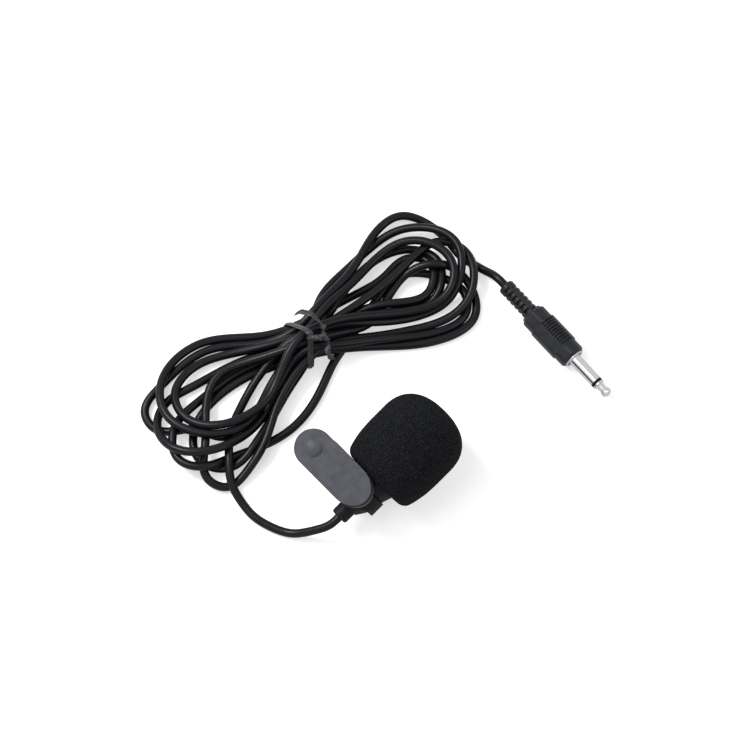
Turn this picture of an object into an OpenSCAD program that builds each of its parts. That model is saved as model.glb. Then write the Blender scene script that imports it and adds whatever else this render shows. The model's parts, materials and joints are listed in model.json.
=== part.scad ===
// Clip-on lavalier microphone with a foam windscreen, a spring clip, a tied hank of cable
// and a moulded two-pole plug. It lies on a surface at z = 0. The head points along +X.

/* [Cable] */
// Outside diameter of the cable's jacket
cable_d = 2.4; // [2.0:0.1:2.6]
// Radial room round the cable in every bore that it passes
cable_room = 0.05; // [0.03:0.01:0.1]
// Length of cable held inside the head, from the tail boot's mouth
cable_in_head = 10.5; // [10:0.1:11]
// Length of cable held inside the plug, from the strain relief's mouth
cable_in_plug = 13.5; // [13:0.1:14.5]
// Diameter of the insulated core that carries the signal
core_d = 0.8; // [0.5:0.05:0.9]
// Diameter of the bare screen wire
screen_d = 0.6; // [0.4:0.05:0.7]
// Room at each end of a wire
wire_room = 0.08; // [0.05:0.01:0.15]
// Distance of each wire from the cable's centre where it leaves the jacket
wire_offset = 0.45; // [0.42:0.01:0.6]

/* [Microphone head] */
// Tilt of the head as it lies on the shoulder of its windscreen
head_tilt = 14; // [10:0.5:18]
// Outside diameter of the head, inside the windscreen
head_d = 13; // [12.8:0.1:13.6]
// Length of the straight part of the head
head_len = 14.4; // [14:0.1:18]
// Wall of the head's shell
shell_wall = 0.8; // [0.6:0.05:0.85]
// Diameter of the shell where it meets the boot
tail_d = 5.8; // [5.6:0.1:6.4]
// Length of the tail cone
tail_len = 3; // [3:0.1:4]
// Diameter of the snap lip behind the clip's ring
lip_d = 9.2; // [8.9:0.1:9.6]
// Diameter of the seat that the clip's ring turns on
seat_d = 8.6; // [8.4:0.1:8.8]
// Diameter of the shoulder in front of the clip's ring
shoulder_d = 11.2; // [10.6:0.1:11.6]
// Length of the flare from the shoulder to the full diameter
flare_len = 2.8; // [2.6:0.1:4]
// Diameter of the cavity in the tail that holds the cable clamp
tail_cavity_d = 5.2; // [4.6:0.1:5.6]
// Outside diameter of the cable clamp
clamp_d = 4; // [3.6:0.1:4.4]
// Length of the cable clamp
clamp_len = 2.5; // [2:0.1:3]

/* [Tail boot] */
// Outside diameter of the rubber boot
boot_d = 5; // [4.6:0.1:5.4]
// Length of the boot outside the shell
boot_len = 3.6; // [3:0.1:5]
// Rounding of the boot's mouth
boot_round = 0.4; // [0.2:0.05:0.6]
// Diameter of the boot's plug inside the shell
boot_plug_d = 3.8; // [3.6:0.1:4.4]
// Length of the boot's plug inside the shell
boot_plug_len = 1.6; // [1.2:0.1:1.8]

/* [Front grille] */
// Thickness of the perforated disc
grille_t = 0.8; // [0.6:0.05:1.2]
// Length of the grille's rim inside the shell
grille_rim_len = 1.2; // [1:0.1:1.6]
// Wall of the grille's rim
grille_rim_wall = 0.4; // [0.3:0.05:0.5]
// Diameter of one sound hole
hole_d = 0.9; // [0.6:0.05:1.1]
// Distance between neighbouring sound holes
hole_step = 1.8; // [1.6:0.05:2]
// Thickness of the felt disc behind the grille
felt_t = 0.5; // [0.3:0.05:0.7]

/* [Capsule] */
// Outside diameter of the capsule's can
capsule_d = 9.7; // [9.4:0.1:9.8]
// Length of the capsule's can
capsule_len = 5; // [4.9:0.1:5.6]
// Sheet thickness of the can
can_wall = 0.3; // [0.2:0.05:0.35]
// Thickness of the circuit board at the back of the can
board_t = 0.8; // [0.6:0.05:1]
// Thickness of the diaphragm's ring
diaphragm_ring_t = 0.3; // [0.2:0.05:0.4]
// Thickness of the diaphragm's film
film_t = 0.1; // [0.08:0.01:0.12]
// Thickness of the spacer between film and back plate
spacer_t = 0.15; // [0.12:0.01:0.2]
// Thickness of the back plate
back_plate_t = 0.4; // [0.3:0.05:0.5]
// Distance of each solder joint from the capsule's axis
joint_offset = 1.4; // [1.2:0.05:1.8]
// Radius of a solder joint
joint_r = 0.75; // [0.6:0.05:0.9]

/* [Windscreen] */
// Widest diameter of the foam
foam_d = 26; // [24:0.5:30]
// Length of the foam
foam_len = 27.2; // [26:0.2:32]
// Diameter of the foam at its base, before the edge is rounded
foam_base_d = 20.7; // [19:0.1:22]
// Room between the foam and a hard neighbour
soft_gap = 0.3; // [0.2:0.05:0.4]
// Radial room between the foam's bore and the head
foam_bore_room = 0.05; // [0.02:0.01:0.1]

/* [Clip] */
// Width of the clip
clip_w = 10.6; // [10:0.1:11]
// Length of the upper jaw
jaw_len = 25.1; // [24:0.1:26]
// Distance from the head's axis to the mouth of the upper jaw
jaw_mouth = 4.15; // [4:0.05:4.4]
// Length of the lower jaw
lower_jaw_len = 23; // [22:0.1:23.4]
// Distance that the lower jaw's mouth stands out in front of the upper jaw's
lower_jaw_lead = 0.5; // [0.3:0.05:0.8]
// Angle between the closed jaws
jaw_angle = 11; // [10.5:0.25:12]
// Thickness of the upper jaw
upper_jaw_t = 1.5; // [1.2:0.1:1.8]
// Thickness of the lower jaw
lower_jaw_t = 1.4; // [1.2:0.1:1.8]
// Length of the oval mouth end of each jaw
jaw_oval = 6.5; // [6:0.1:7]
// Height between the jaws at the mouth
mouth_gap = 0.8; // [0.7:0.05:1]
// Diameter of the thumb dome
dome_d = 5; // [4:0.1:6]
// Height of the thumb dome
dome_h = 1; // [0.6:0.1:1.2]
// Length of the lip that closes the mouth
lip_len = 0.8; // [0.6:0.05:0.9]
// Room under the lip when the clip is closed
lip_room = 0.15; // [0.1:0.01:0.2]
// Distance between neighbouring teeth
tooth_step = 0.9; // [0.8:0.05:0.95]
// Height of the teeth on the lower jaw
tooth_h = 0.4; // [0.3:0.05:0.5]

/* [Clip ring] */
// Width of the ring along the head
ring_w = 4.3; // [4:0.1:4.5]
// Outside diameter of the ring
ring_d = 12.4; // [11.6:0.1:12.6]
// Radial room between the ring and its seat
ring_room = 0.05; // [0.02:0.01:0.1]
// Room at each side of the ring
ring_side_room = 0.05; // [0.02:0.01:0.1]
// Height of the pad between the ring and the lower jaw
ring_pad_h = 0.5; // [0.4:0.05:0.8]
// Length of the pad across the head
ring_pad_len = 7; // [6:0.1:8]
// Diameter of the post that is riveted through the lower jaw
post_d = 3; // [2.6:0.1:3.2]
// Diameter of the post's riveted head
post_head_d = 3.8; // [3.6:0.1:4]
// Height of the post's riveted head
post_head_h = 0.4; // [0.3:0.05:0.5]

/* [Clip hinge] */
// Distance from the head's axis to the hinge pin, along the clip
hinge_out = 8; // [7.5:0.1:9]
// Diameter of the hinge pin
pin_d = 1.2; // [1:0.05:1.3]
// Length of the hinge pin
pin_len = 8.4; // [8.2:0.1:8.8]
// Radial room round the pin
pin_room = 0.02; // [0.01:0.01:0.05]
// Distance from the pin's centre to the underside of the upper jaw
pin_drop = 1.55; // [1.5:0.05:1.7]
// Outside diameter of the hinge ears
ear_d = 2.6; // [2.4:0.1:2.7]
// Thickness of one ear of the lower jaw
ear_t = 1.2; // [1:0.1:1.3]
// Thickness of one lug of the upper jaw
lug_t = 1.1; // [1:0.1:1.2]
// Room between the hinge's ears and lugs
ear_gap = 0.2; // [0.1:0.05:0.25]
// Distance between the two lugs of the upper jaw
lug_space = 3; // [2.9:0.05:3.2]
// Diameter of the spring's wire
spring_wire_d = 0.35; // [0.3:0.01:0.36]
// Diameter of the spring's coil, measured to the wire's centre
spring_coil_d = 2; // [1.9:0.05:2.1]
// Distance between neighbouring turns of the spring
spring_step = 0.8; // [0.78:0.01:0.82]
// Length of each leg of the spring
spring_leg = 5; // [4:0.1:6]

/* [Plug] */
// Length of the ribbed strain relief
relief_len = 11.2; // [10.8:0.1:12]
// Diameter of the strain relief
relief_d = 4.7; // [4.4:0.1:5]
// Distance between neighbouring ribs of the strain relief
rib_step = 1.65; // [1.6:0.05:1.7]
// Axial width of one window in the strain relief
window_w = 0.85; // [0.7:0.05:0.9]
// Length of the plug's grip
grip_len = 17.6; // [17.2:0.1:19]
// Diameter of the plug's grip
grip_d = 7.6; // [7.4:0.1:8]
// Bevel at the ends of the grip
grip_bevel = 0.7; // [0.4:0.1:0.9]
// Diameter across the raised pads of the grip
pad_d = 8.6; // [8.2:0.1:9]
// Length of the raised pads
pad_len = 9.6; // [8:0.1:10]
// Distance from the grip's back to the raised pads
pad_back = 5; // [4.6:0.1:6]
// Height of the raised pads
pad_h = 7.1; // [6.8:0.1:7.2]
// Distance between neighbouring grip grooves
groove_step = 0.8; // [0.7:0.05:1]
// Depth of one grip groove
groove_h = 0.3; // [0.2:0.05:0.35]

/* [Plug contacts] */
// Diameter of the pin that enters a socket
plug_pin_d = 3.5; // [3.4:0.05:3.6]
// Length of the pin, from the collar's face to the tip
plug_pin_len = 14; // [13.5:0.1:15]
// Diameter of the collar
collar_d = 5.9; // [5.6:0.1:6.1]
// Thickness of the collar
collar_t = 1; // [0.8:0.1:1.2]
// Length of the tip contact
tip_len = 4.3; // [4.1:0.1:4.6]
// Width of the insulating ring behind the tip
ring_gap_w = 0.9; // [0.6:0.05:1.1]
// Diameter of the insulating tube round the tip's rod
tube_d = 2; // [1.9:0.05:2.1]
// Diameter of the tip's rod
rod_d = 1.2; // [1.1:0.05:1.3]
// Room between nested contacts
contact_room = 0.02; // [0.01:0.01:0.03]
// Outside diameter of the inner moulding
inner_mould_d = 5.8; // [5.6:0.1:5.9]
// Diameter of the hollow in the inner moulding
inner_hollow_d = 4.4; // [4.3:0.1:4.6]
// Length of the collar's neck inside the grip
neck_len = 2.6; // [2.4:0.1:2.8]
// Thickness of the solder lugs
lug_plate_t = 0.4; // [0.3:0.05:0.45]

/* [Hank] */
// Loops that spiral through each layer
layer_turns = 2; // [2]
// Step between neighbouring loops at the waist
waist_step = 3.2; // [3.2:0.05:3.6]
// Distance of the innermost loop from the middle at the waist
waist_half = 0.9; // [0.9:0.05:1.2]
// Half length of the innermost loop
reach = 43; // [40:0.5:45]
// Growth of the half length with each loop
reach_step = 3.4; // [3:0.1:3.8]
// Half width of the innermost loop's lobes, before they close
lobe = 16.5; // [15:0.5:17]
// Growth of the lobes' half width with each loop
lobe_step = 5; // [5:0.1:6]
// Distance from the waist at which a lobe has its full width
lobe_run = 38; // [37:0.5:42]
// Height from one layer to the next
layer_step = 2.95; // [2.9:0.01:3.2]
// Height by which the tie lifts the waist off the surface
waist_lift = 0.8; // [0.8:0.05:1.2]

/* [Tie] */
// Width of the tie's ribbon
tie_w = 1.6; // [1.2:0.1:2]
// Thickness of the tie's ribbon
tie_t = 0.4; // [0.3:0.05:0.6]
// Diameter of each strand of the twist on top of the bundle
tie_twist_d = 1.1; // [0.9:0.05:1.3]
// Room between the tie and the bundle, above and below it
tie_room = 0.25; // [0.2:0.05:0.3]
// Room between the tie and the sides of the bundle
tie_side_room = 0.85; // [0.75:0.05:1]
// Height of the twist over the band
tie_twist_h = 1.2; // [1:0.1:1.6]

/* [Hidden] */
$fn = 64;
axis_x = [1, 0, 0];
axis_y = [0, 1, 0];
axis_z = [0, 0, 1];

// Stations along the head, from the boot's mouth at 0 towards the front
seat_start = boot_len + tail_len;
seat_len = ring_w + 2 * ring_side_room;
seat_end = seat_start + seat_len;
clip_mid = seat_start + seat_len / 2;
head_start = seat_end + flare_len;
head_end = head_start + head_len;
grille_end = head_end + grille_t;
rim_back = head_end - grille_rim_len;
neck_end = boot_len + boot_plug_len + 1;
chamber_r = head_d / 2 - shell_wall;
cable_bore_r = cable_d / 2 + cable_room;

// Stations inside the capsule, counted back from the felt
capsule_front = head_end - felt_t;
capsule_back = capsule_front - capsule_len;
diaphragm_front = capsule_front - can_wall - 0.05;
diaphragm_back = diaphragm_front - diaphragm_ring_t;
spacer_back = diaphragm_back - spacer_t;
back_plate_back = spacer_back - back_plate_t;
board_back = capsule_back + can_wall;
board_front = board_back + board_t;
inside_r = capsule_d / 2 - can_wall - 0.05;
joint_tip = board_back - joint_r;

// Windscreen
foam_start = clip_mid + clip_w / 2 + soft_gap;
foam_end = foam_start + foam_len;
foam_bore_r = head_d / 2 + foam_bore_room;
foam_bore_end = grille_end + soft_gap;
crown_start = foam_start + 0.46 * foam_len;
dome_start = foam_start + 0.6 * foam_len;
foam_edge = [1.6, 1.9];
foam_steps = 12;

function side_r(x) =
    let (s = (x - foam_start) / (crown_start - foam_start))
    foam_d / 2 - (foam_d - foam_base_d) / 2 * pow(1 - s, 2.5);
function edge_drop(x) =
    let (s = 1 - (x - foam_start) / foam_edge[0]) foam_edge[1] * (1 - sqrt(1 - s * s));
function dome_r(s) = foam_d / 2 * pow(1 - pow(s, 2.35), 1 / 2.35);
foam_outline = concat(
    [for (i = [0:foam_steps])
        let (x = foam_start + foam_edge[0] * (1 - cos(90 * i / foam_steps)))
        [x, side_r(x) - edge_drop(x)]],
    [for (i = [1:foam_steps])
        let (x = foam_start + foam_edge[0]
            + (crown_start - foam_start - foam_edge[0]) * i / foam_steps)
        [x, side_r(x)]],
    [for (i = [0:2 * foam_steps])
        let (s = sin(45 * i / foam_steps))
        [dome_start + (foam_end - dome_start) * s, dome_r(s)]]
);

// Clip, in its own frame: X from mouth to thumb end, Z up, the head's axis through the origin
pad_top = ring_d / 2 + ring_pad_h;
lower_top = pad_top + lower_jaw_t;
mouth_z = lower_top + mouth_gap;
jaw_rise = tan(jaw_angle);
hinge_z = mouth_z + (hinge_out + jaw_mouth) * jaw_rise - pin_drop / cos(jaw_angle);
lug_out = lug_space / 2 + lug_t;
ear_in = lug_out + ear_gap;
ear_out = ear_in + ear_t;
thumb_x = -jaw_mouth + jaw_len * cos(jaw_angle);

// Place of the head: the middle of its own footprint is at the origin
head_lift = -min([for (p = foam_outline) p[0] * sin(head_tilt) - p[1] * cos(head_tilt)]);
head_front = max([for (p = foam_outline) p[0] * cos(head_tilt) + p[1] * sin(head_tilt)]);
head_back = -(boot_d / 2 - boot_round) * sin(head_tilt);
head_x = -(head_front + head_back) / 2;
head_y = -(thumb_x - foam_d / 2) / 2;

// Plug, in its own frame: X from the cable's entry to the tip
plug_place = [60.9, 15.3];
plug_heading = -92.5;
plug_roll = 20;
plug_lift = max(grip_d / 2, pad_d / 2 * cos(acos(pad_h / pad_d) - plug_roll));
grip_end = relief_len + grip_len;
collar_end = grip_end + collar_t;
pin_end = collar_end + plug_pin_len;
tip_start = pin_end - tip_len;
sleeve_end = tip_start - ring_gap_w;
neck_start = grip_end - neck_len;
sleeve_lug_back = neck_start - lug_plate_t;
tube_back = sleeve_lug_back - 1.6;
tip_lug_back = tube_back - lug_plate_t;
rod_back = tip_lug_back - 0.35;
pocket_start = cable_in_plug - 0.6;
pocket_end = neck_start - contact_room;
tip_tab_back = 19.5;
sleeve_tab_back = 18.6;
tab_inset = 0.25;

// Hank: one line of loops, counted in turns from where the first layer ends
hank_place = [9.6, 39.4];
hank_heading = -10;
first_turn = 270;
hank_start = -2.75;
hank_end = 4.53;
rings_per_loop = 24;
hank_sides = 6;
cord_sides = 8;
hank_rings = round((hank_end - hank_start) * rings_per_loop);

function loop_number(t) =
    t < 0 ? -t :
    t < layer_turns ? t :
    t < 2 * layer_turns ? 2 * layer_turns - t : t - 2 * layer_turns;
function ease(s) = let (q = min(1, max(0, s))) q * q * (3 - 2 * q);
function climb(t, at) = ease((t - at + 0.25) / 0.5);
function layer(t) = climb(t, 0) + climb(t, layer_turns) + climb(t, 2 * layer_turns);
function widen(x) = (1 - cos(180 * min(1, abs(x) / lobe_run))) / 2;
function hank_point(t) =
    let (
        turn = first_turn + 360 * t,
        loop = loop_number(t),
        x = (reach + reach_step * loop) * cos(turn),
        narrow = waist_half + waist_step * loop,
        wide = lobe + lobe_step * loop,
        y = sin(turn) * (narrow + (wide - narrow) * widen(x))
    )
    [x, y, cable_d / 2 + waist_lift * (1 - widen(x)) + layer_step * layer(t)];
function hank_to_row(p) =
    let (c = cos(hank_heading), s = sin(hank_heading))
    [hank_place[0] + c * p[0] - s * p[1], hank_place[1] + s * p[0] + c * p[1], p[2]];
hank_loops = [for (i = [0:hank_rings])
    hank_to_row(hank_point(hank_start + (hank_end - hank_start) * i / hank_rings))];

function unit(v) = v / norm(v);
hank_out_a = unit(hank_loops[0] - hank_loops[1]);
hank_out_b = unit(hank_loops[hank_rings] - hank_loops[hank_rings - 1]);
hank_end_a = hank_loops[0] + cable_d * hank_out_a;
hank_end_b = hank_loops[hank_rings] + cable_d * hank_out_b;
hank_path = concat([hank_end_a], hank_loops, [hank_end_b]);

// Free stretches of the cable, by points chosen by hand
function head_to_row(p) =
    let (c = cos(head_tilt), s = sin(head_tilt))
    [head_x + c * p[0] - s * p[2], head_y + p[1], head_lift + s * p[0] + c * p[2]];
function plug_to_row(p) =
    let (c = cos(plug_heading), s = sin(plug_heading))
    [plug_place[0] + c * p[0] - s * p[1], plug_place[1] + s * p[0] + c * p[1], plug_lift + p[2]];
mic_route = concat(
    [for (x = [cable_in_head, boot_len + boot_plug_len, 0, -cable_d]) head_to_row([x, 0, 0])],
    [
        [-27.4, -2.4, 5.2],
        [-31, 0.6, 3.4],
        [-33.8, 4.8, 1.9],
        [-35.2, 9.8, 1.3],
        [-35.7, 15, 1.9],
        [-35, 20.4, 4.2],
        [-33.2, 25.2, 7],
        [-30.5, 29.4, 9.6],
        [-27.5, 33.4, 10.8],
        [-24, 37.6, 10.9],
        [-20, 41.6, 10.6],
        [-15.5, 44.8, 10.6],
        [-10.5, 46.8, 10.7],
        [-6, 47.2, 10.8],
        hank_end_b + cable_d * hank_out_b
    ],
    [hank_end_b]
);
plug_route = concat(
    [hank_end_a, hank_end_a + cable_d * hank_out_a],
    [[61.4, 22.2, 2.4]],
    [for (x = [-cable_d, 0, relief_len / 2, cable_in_plug]) plug_to_row([x, 0, 0])]
);

// Tie: two strands twisted on top of the band, and the free ends that leave them
tie_top = waist_lift + 3 * layer_step + cable_d + tie_room + tie_t;
twist_place = [9.4, 38];
twist_turns = 0.75;
twist_slices = 10;
twist_sides = 12;
looped_tail = [
    [9, 38.2, 13.6],
    [10.4, 36.9, 13.7],
    [11.8, 37, 13.9],
    [12.8, 38.4, 13.9],
    [13.4, 41, 13.8],
    [13.5, 42.8, 13.7],
    [12.6, 44.4, 13.6],
    [10.9, 45.9, 13.4],
    [9.6, 46.9, 13.1]
];
loose_tail = [
    [9.2, 37.6, 13.6],
    [10.4, 35.8, 13.7],
    [10.9, 34.2, 13.6],
    [9.9, 33, 13.5],
    [9, 31.8, 13.4],
    [8.7, 30.6, 13.2],
    [8.6, 29.6, 12.6]
];

// Spring of the clip, in the clip's frame: one leg, the coil, the other leg
spring_turns = 2.5;
spring_rings = 8;
spring_r = spring_coil_d / 2;
spring_half = spring_turns * spring_step / 2;
leg_drop = hinge_z - lower_top - spring_wire_d / 2 - 0.05;
leg_lift = pin_drop - spring_wire_d / 2 - 0.05;
lower_leg_end = [hinge_out + spring_leg, -spring_half, hinge_z - leg_drop];
upper_leg_end = [
    hinge_out + spring_leg * cos(jaw_angle) - leg_lift * sin(jaw_angle),
    spring_half,
    hinge_z + spring_leg * sin(jaw_angle) + leg_lift * cos(jaw_angle)
];
spring_path = concat(
    [lower_leg_end],
    [for (i = [0:spring_turns * spring_rings])
        let (a = -90 - 360 * i / spring_rings)
        [
            hinge_out + spring_r * cos(a),
            -spring_half + spring_step * i / spring_rings,
            hinge_z + spring_r * sin(a)
        ]],
    [upper_leg_end]
);

// Tube swept along a path: each ring is square to the path, with one side turned to "ref"
function heading(path, i) =
    let (n = len(path) - 1)
    unit(i == 0 ? path[1] - path[0] :
        i == n ? path[n] - path[n - 1] :
        unit(path[i + 1] - path[i]) + unit(path[i] - path[i - 1]));
function ring_points(path, i, r, sides, ref) =
    let (along = heading(path, i), side = unit(cross(ref, along)), up = cross(along, side))
    [for (k = [0:sides - 1])
        let (a = 90 + 360 * k / sides) path[i] + r * (cos(a) * side + sin(a) * up)];

module tube(path, d, sides, ref) {
    joined_rings([for (i = [0:len(path) - 1]) ring_points(path, i, d / 2, sides, ref)]);
}
module joined_rings(rings) {
    n = len(rings);
    sides = len(rings[0]);
    walls = [for (i = [0:n - 2], k = [0:sides - 1])
        let (a = i * sides + k, b = i * sides + (k + 1) % sides)
        each [[a, b, b + sides], [a, b + sides, a + sides]]];
    first = [for (k = [1:sides - 2]) [0, k + 1, k]];
    last = [for (k = [1:sides - 2]) [0, k, k + 1] + (n - 1) * sides * [1, 1, 1]];
    polyhedron([for (r = rings) each r], [for (f = concat(walls, first, last)) [f[0], f[2], f[1]]]);
}

// Flat ribbon swept along a path: it stands on edge at 0 degrees and lies flat at 90
function ribbon_points(path, i, width, thick, lie) =
    let (
        along = heading(path, i),
        level = unit(cross(along, axis_z)),
        rise = cross(level, along),
        wide = width / 2 * (cos(lie) * rise + sin(lie) * level),
        deep = thick / 2 * (cos(lie) * level - sin(lie) * rise)
    )
    [for (c = [[-1, -1], [1, -1], [1, 1], [-1, 1]]) path[i] + c[0] * wide + c[1] * deep];
module ribbon(path, width, thick, lie_from, lie_to) {
    n = len(path) - 1;
    joined_rings([for (i = [0:n])
        ribbon_points(path, i, width, thick, lie_from + (lie_to - lie_from) * i / n)]);
}

// Least distance between the surfaces of stretches of one tube that aren't neighbours
function to_segment(p, a, b) =
    let (v = b - a, s = min(1, max(0, (p - a) * v / (v * v)))) norm(p - a - s * v);
function least_gap(path, d, skip) =
    let (n = len(path))
    min([for (i = [0:n - 1 - skip - 1], j = [i + skip:n - 2])
        min(to_segment(path[i], path[j], path[j + 1]), to_segment(path[j], path[i], path[i + 1]))
    ]) - d;
function path_length(path) =
    [for (i = [1:len(path) - 1]) norm(path[i] - path[i - 1])] * [for (i = [1:len(path) - 1]) 1];

union() {
    echo(hank_least_gap = least_gap(hank_path, cable_d, 8));
    echo(spring_least_gap = least_gap(spring_path, spring_wire_d, 4));
    echo(cable_length = path_length(mic_route) + path_length(hank_path) + path_length(plug_route));
}

// Frames of the groups of pieces
module in_head() {
    translate([head_x, head_y, head_lift]) rotate([0, -head_tilt, 0]) children();
}
module in_clip() {
    in_head() translate([clip_mid, 0, 0]) rotate([0, 0, 90]) children();
}
module in_plug() {
    translate([plug_place[0], plug_place[1], plug_lift])
        rotate([0, 0, plug_heading])
        rotate([plug_roll, 0, 0]) children();
}
// A solid turned about the X axis, from points of [station, radius]
module turned(points) {
    rotate([0, 90, 0]) rotate_extrude() polygon([for (p = points) [p[1], p[0]]]);
}
module rod(from, to, r) {
    translate([from, 0, 0]) rotate([0, 90, 0]) cylinder(h = to - from, r = r);
}
module washer(from, to, outer, inner) {
    difference() {
        rod(from, to, outer);
        rod(from - 1, to + 1, inner);
    }
}
// A straight wire from one point to another in the XZ plane
module wire(from, to, d) {
    run = to - from;
    translate(from) rotate([0, atan2(run[0], run[2]), 0]) cylinder(h = norm(run), d = d);
}

module windscreen() {
    color([0.09, 0.09, 0.1]) in_head() difference() {
        turned(concat([[foam_start, 0]], foam_outline));
        rod(foam_start - 1, foam_bore_end, foam_bore_r);
    }
}

module mic_body() {
    cavity_r = tail_cavity_d / 2;
    color([0.1, 0.1, 0.11]) in_head() difference() {
        turned([
            [boot_len, 0], [boot_len, tail_d / 2], [seat_start - 0.3, lip_d / 2],
            [seat_start, lip_d / 2], [seat_start, seat_d / 2], [seat_end, seat_d / 2],
            [seat_end, shoulder_d / 2], [head_start, head_d / 2], [head_end, head_d / 2],
            [head_end, 0]
        ]);
        rod(boot_len - 1, boot_len + boot_plug_len, boot_plug_d / 2 + cable_room);
        rod(boot_len, head_end, cable_bore_r);
        turned([
            [neck_end, 0], [neck_end, cavity_r], [seat_end, cavity_r],
            [head_start, chamber_r], [head_end + 1, chamber_r], [head_end + 1, 0]
        ]);
    }
}

module tail_boot() {
    color([0.08, 0.08, 0.09]) in_head() difference() {
        turned([
            [0, 0], [0, boot_d / 2 - boot_round], [boot_round, boot_d / 2],
            [boot_len, boot_d / 2], [boot_len, boot_plug_d / 2],
            [boot_len + boot_plug_len, boot_plug_d / 2], [boot_len + boot_plug_len, 0]
        ]);
        rod(-1, neck_end, cable_bore_r);
    }
}

module cable_clamp() {
    color([0.75, 0.6, 0.3]) in_head()
        washer(neck_end, neck_end + clamp_len, clamp_d / 2, cable_bore_r);
}

module front_grille() {
    rim_r = chamber_r - contact_room;
    color([0.35, 0.35, 0.37]) in_head() difference() {
        union() {
            rod(head_end, grille_end, head_d / 2);
            rod(rim_back, head_end, rim_r);
        }
        rod(rim_back - 1, head_end, rim_r - grille_rim_wall);
        rod(head_end - 1, grille_end + 1, hole_d / 2);
        for (ring = [1, 2], k = [0:6 * ring - 1])
            rotate([60 / ring * k, 0, 0]) translate([0, 0, ring * hole_step])
                rod(head_end - 1, grille_end + 1, hole_d / 2);
    }
}

module dust_felt() {
    felt_r = chamber_r - contact_room - grille_rim_wall - 0.05;
    color([0.2, 0.2, 0.2]) in_head() rod(head_end - felt_t, head_end, felt_r);
}

module capsule_sleeve() {
    lip_t = 0.6;
    color([0.12, 0.12, 0.12]) in_head() {
        difference() {
            rod(capsule_back - lip_t, rim_back - 0.05, chamber_r - contact_room);
            rod(capsule_back, head_end, capsule_d / 2 + contact_room);
            rod(capsule_back - 2 * lip_t, head_end, capsule_d / 2 - lip_t);
        }
    }
}

module capsule_can() {
    color([0.8, 0.8, 0.82]) in_head() difference() {
        rod(capsule_back, capsule_front, capsule_d / 2);
        rod(capsule_back + can_wall, capsule_front - can_wall, capsule_d / 2 - can_wall);
        rod(capsule_back - 1, capsule_front - can_wall, capsule_d / 2 - 2.5 * can_wall);
        for (k = [0:2])
            rotate([120 * k, 0, 0]) translate([0, 0, 1.2])
                rod(capsule_front - 1, capsule_front + 1, 0.5);
    }
}

module capsule_diaphragm() {
    color([0.85, 0.75, 0.45]) in_head() {
        washer(diaphragm_back, diaphragm_front, inside_r, inside_r - 0.6);
        rod(diaphragm_back, diaphragm_back + film_t, inside_r - 0.3);
    }
}

module capsule_spacer() {
    color([0.9, 0.88, 0.8]) in_head() washer(spacer_back, diaphragm_back, inside_r, inside_r - 0.4);
}

module capsule_back_plate() {
    color([0.78, 0.65, 0.35]) in_head() difference() {
        rod(back_plate_back, spacer_back, inside_r - 0.1);
        for (k = [0:3])
            rotate([90 * k, 0, 0]) translate([0, 0, 1.6])
                rod(back_plate_back - 1, spacer_back + 1, 0.4);
    }
}

module capsule_holder() {
    color([0.92, 0.9, 0.85]) in_head() washer(board_front, back_plate_back, inside_r, inside_r - 0.8);
}

module capsule_board() {
    color([0.15, 0.4, 0.2]) in_head() rod(board_back, board_front, inside_r);
}

module capsule_transistor() {
    color([0.1, 0.1, 0.1]) in_head()
        translate([board_front, -1.2, -0.8]) cube([back_plate_back - board_front, 2.4, 1.6]);
}

module solder_joints() {
    color([0.8, 0.8, 0.82]) in_head() for (side = [-1, 1])
        intersection() {
            translate([board_back, 0, side * joint_offset]) sphere(r = joint_r);
            rod(board_back - 2 * joint_r, board_back, inside_r);
        }
}

module signal_wire() {
    color([0.8, 0.15, 0.12]) in_head()
        wire([cable_in_head + wire_room, 0, wire_offset], [joint_tip - wire_room, 0, joint_offset], core_d);
}

module screen_wire() {
    color([0.75, 0.5, 0.3]) in_head()
        wire([cable_in_head + wire_room, 0, -wire_offset], [joint_tip - wire_room, 0, -joint_offset], screen_d);
}

module clip_ring() {
    bore_r = seat_d / 2 + ring_room;
    color([0.17, 0.17, 0.18]) in_clip() difference() {
        union() {
            rotate([90, 0, 0]) cylinder(h = ring_w, d = ring_d, center = true);
            translate([-ring_pad_len / 2, -ring_w / 2, 0]) cube([ring_pad_len, ring_w, pad_top]);
            cylinder(h = lower_top, d = post_d);
            translate([0, 0, lower_top]) cylinder(h = post_head_h, d = post_head_d);
        }
        rotate([90, 0, 0]) cylinder(h = 2 * ring_w, r = bore_r, center = true);
    }
}

// Outline of a jaw: an oval mouth end at x = 0, straight sides and a round thumb end
module jaw_outline(length) {
    half = clip_w / 2;
    translate([jaw_oval, 0]) scale([jaw_oval / half, 1]) circle(r = half);
    translate([jaw_oval, -half]) square([length - half - jaw_oval, clip_w]);
    translate([length - half, 0]) circle(r = half);
}

module clip_lower_jaw() {
    color([0.35, 0.36, 0.38]) in_clip() difference() {
        union() {
            translate([-jaw_mouth - lower_jaw_lead, 0, pad_top])
                linear_extrude(lower_jaw_t) jaw_outline(lower_jaw_len);
            for (k = [1:2]) translate([-jaw_mouth + lip_len + k * tooth_step, 0, lower_top])
                tooth(tooth_h, clip_w / 2);
            for (side = [-1, 1]) {
                y = side > 0 ? ear_in : -ear_out;
                translate([hinge_out - ear_d / 2, y, lower_top - 0.5])
                    cube([ear_d, ear_t, hinge_z - lower_top + 0.5]);
                translate([hinge_out, y, hinge_z]) rotate([-90, 0, 0]) cylinder(h = ear_t, d = ear_d);
            }
        }
        cylinder(h = 3 * lower_top, r = post_d / 2 + contact_room, center = true);
        translate([hinge_out, 0, hinge_z]) rotate([90, 0, 0])
            cylinder(h = 4 * ear_out, r = pin_d / 2 + pin_room, center = true);
    }
}

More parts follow.
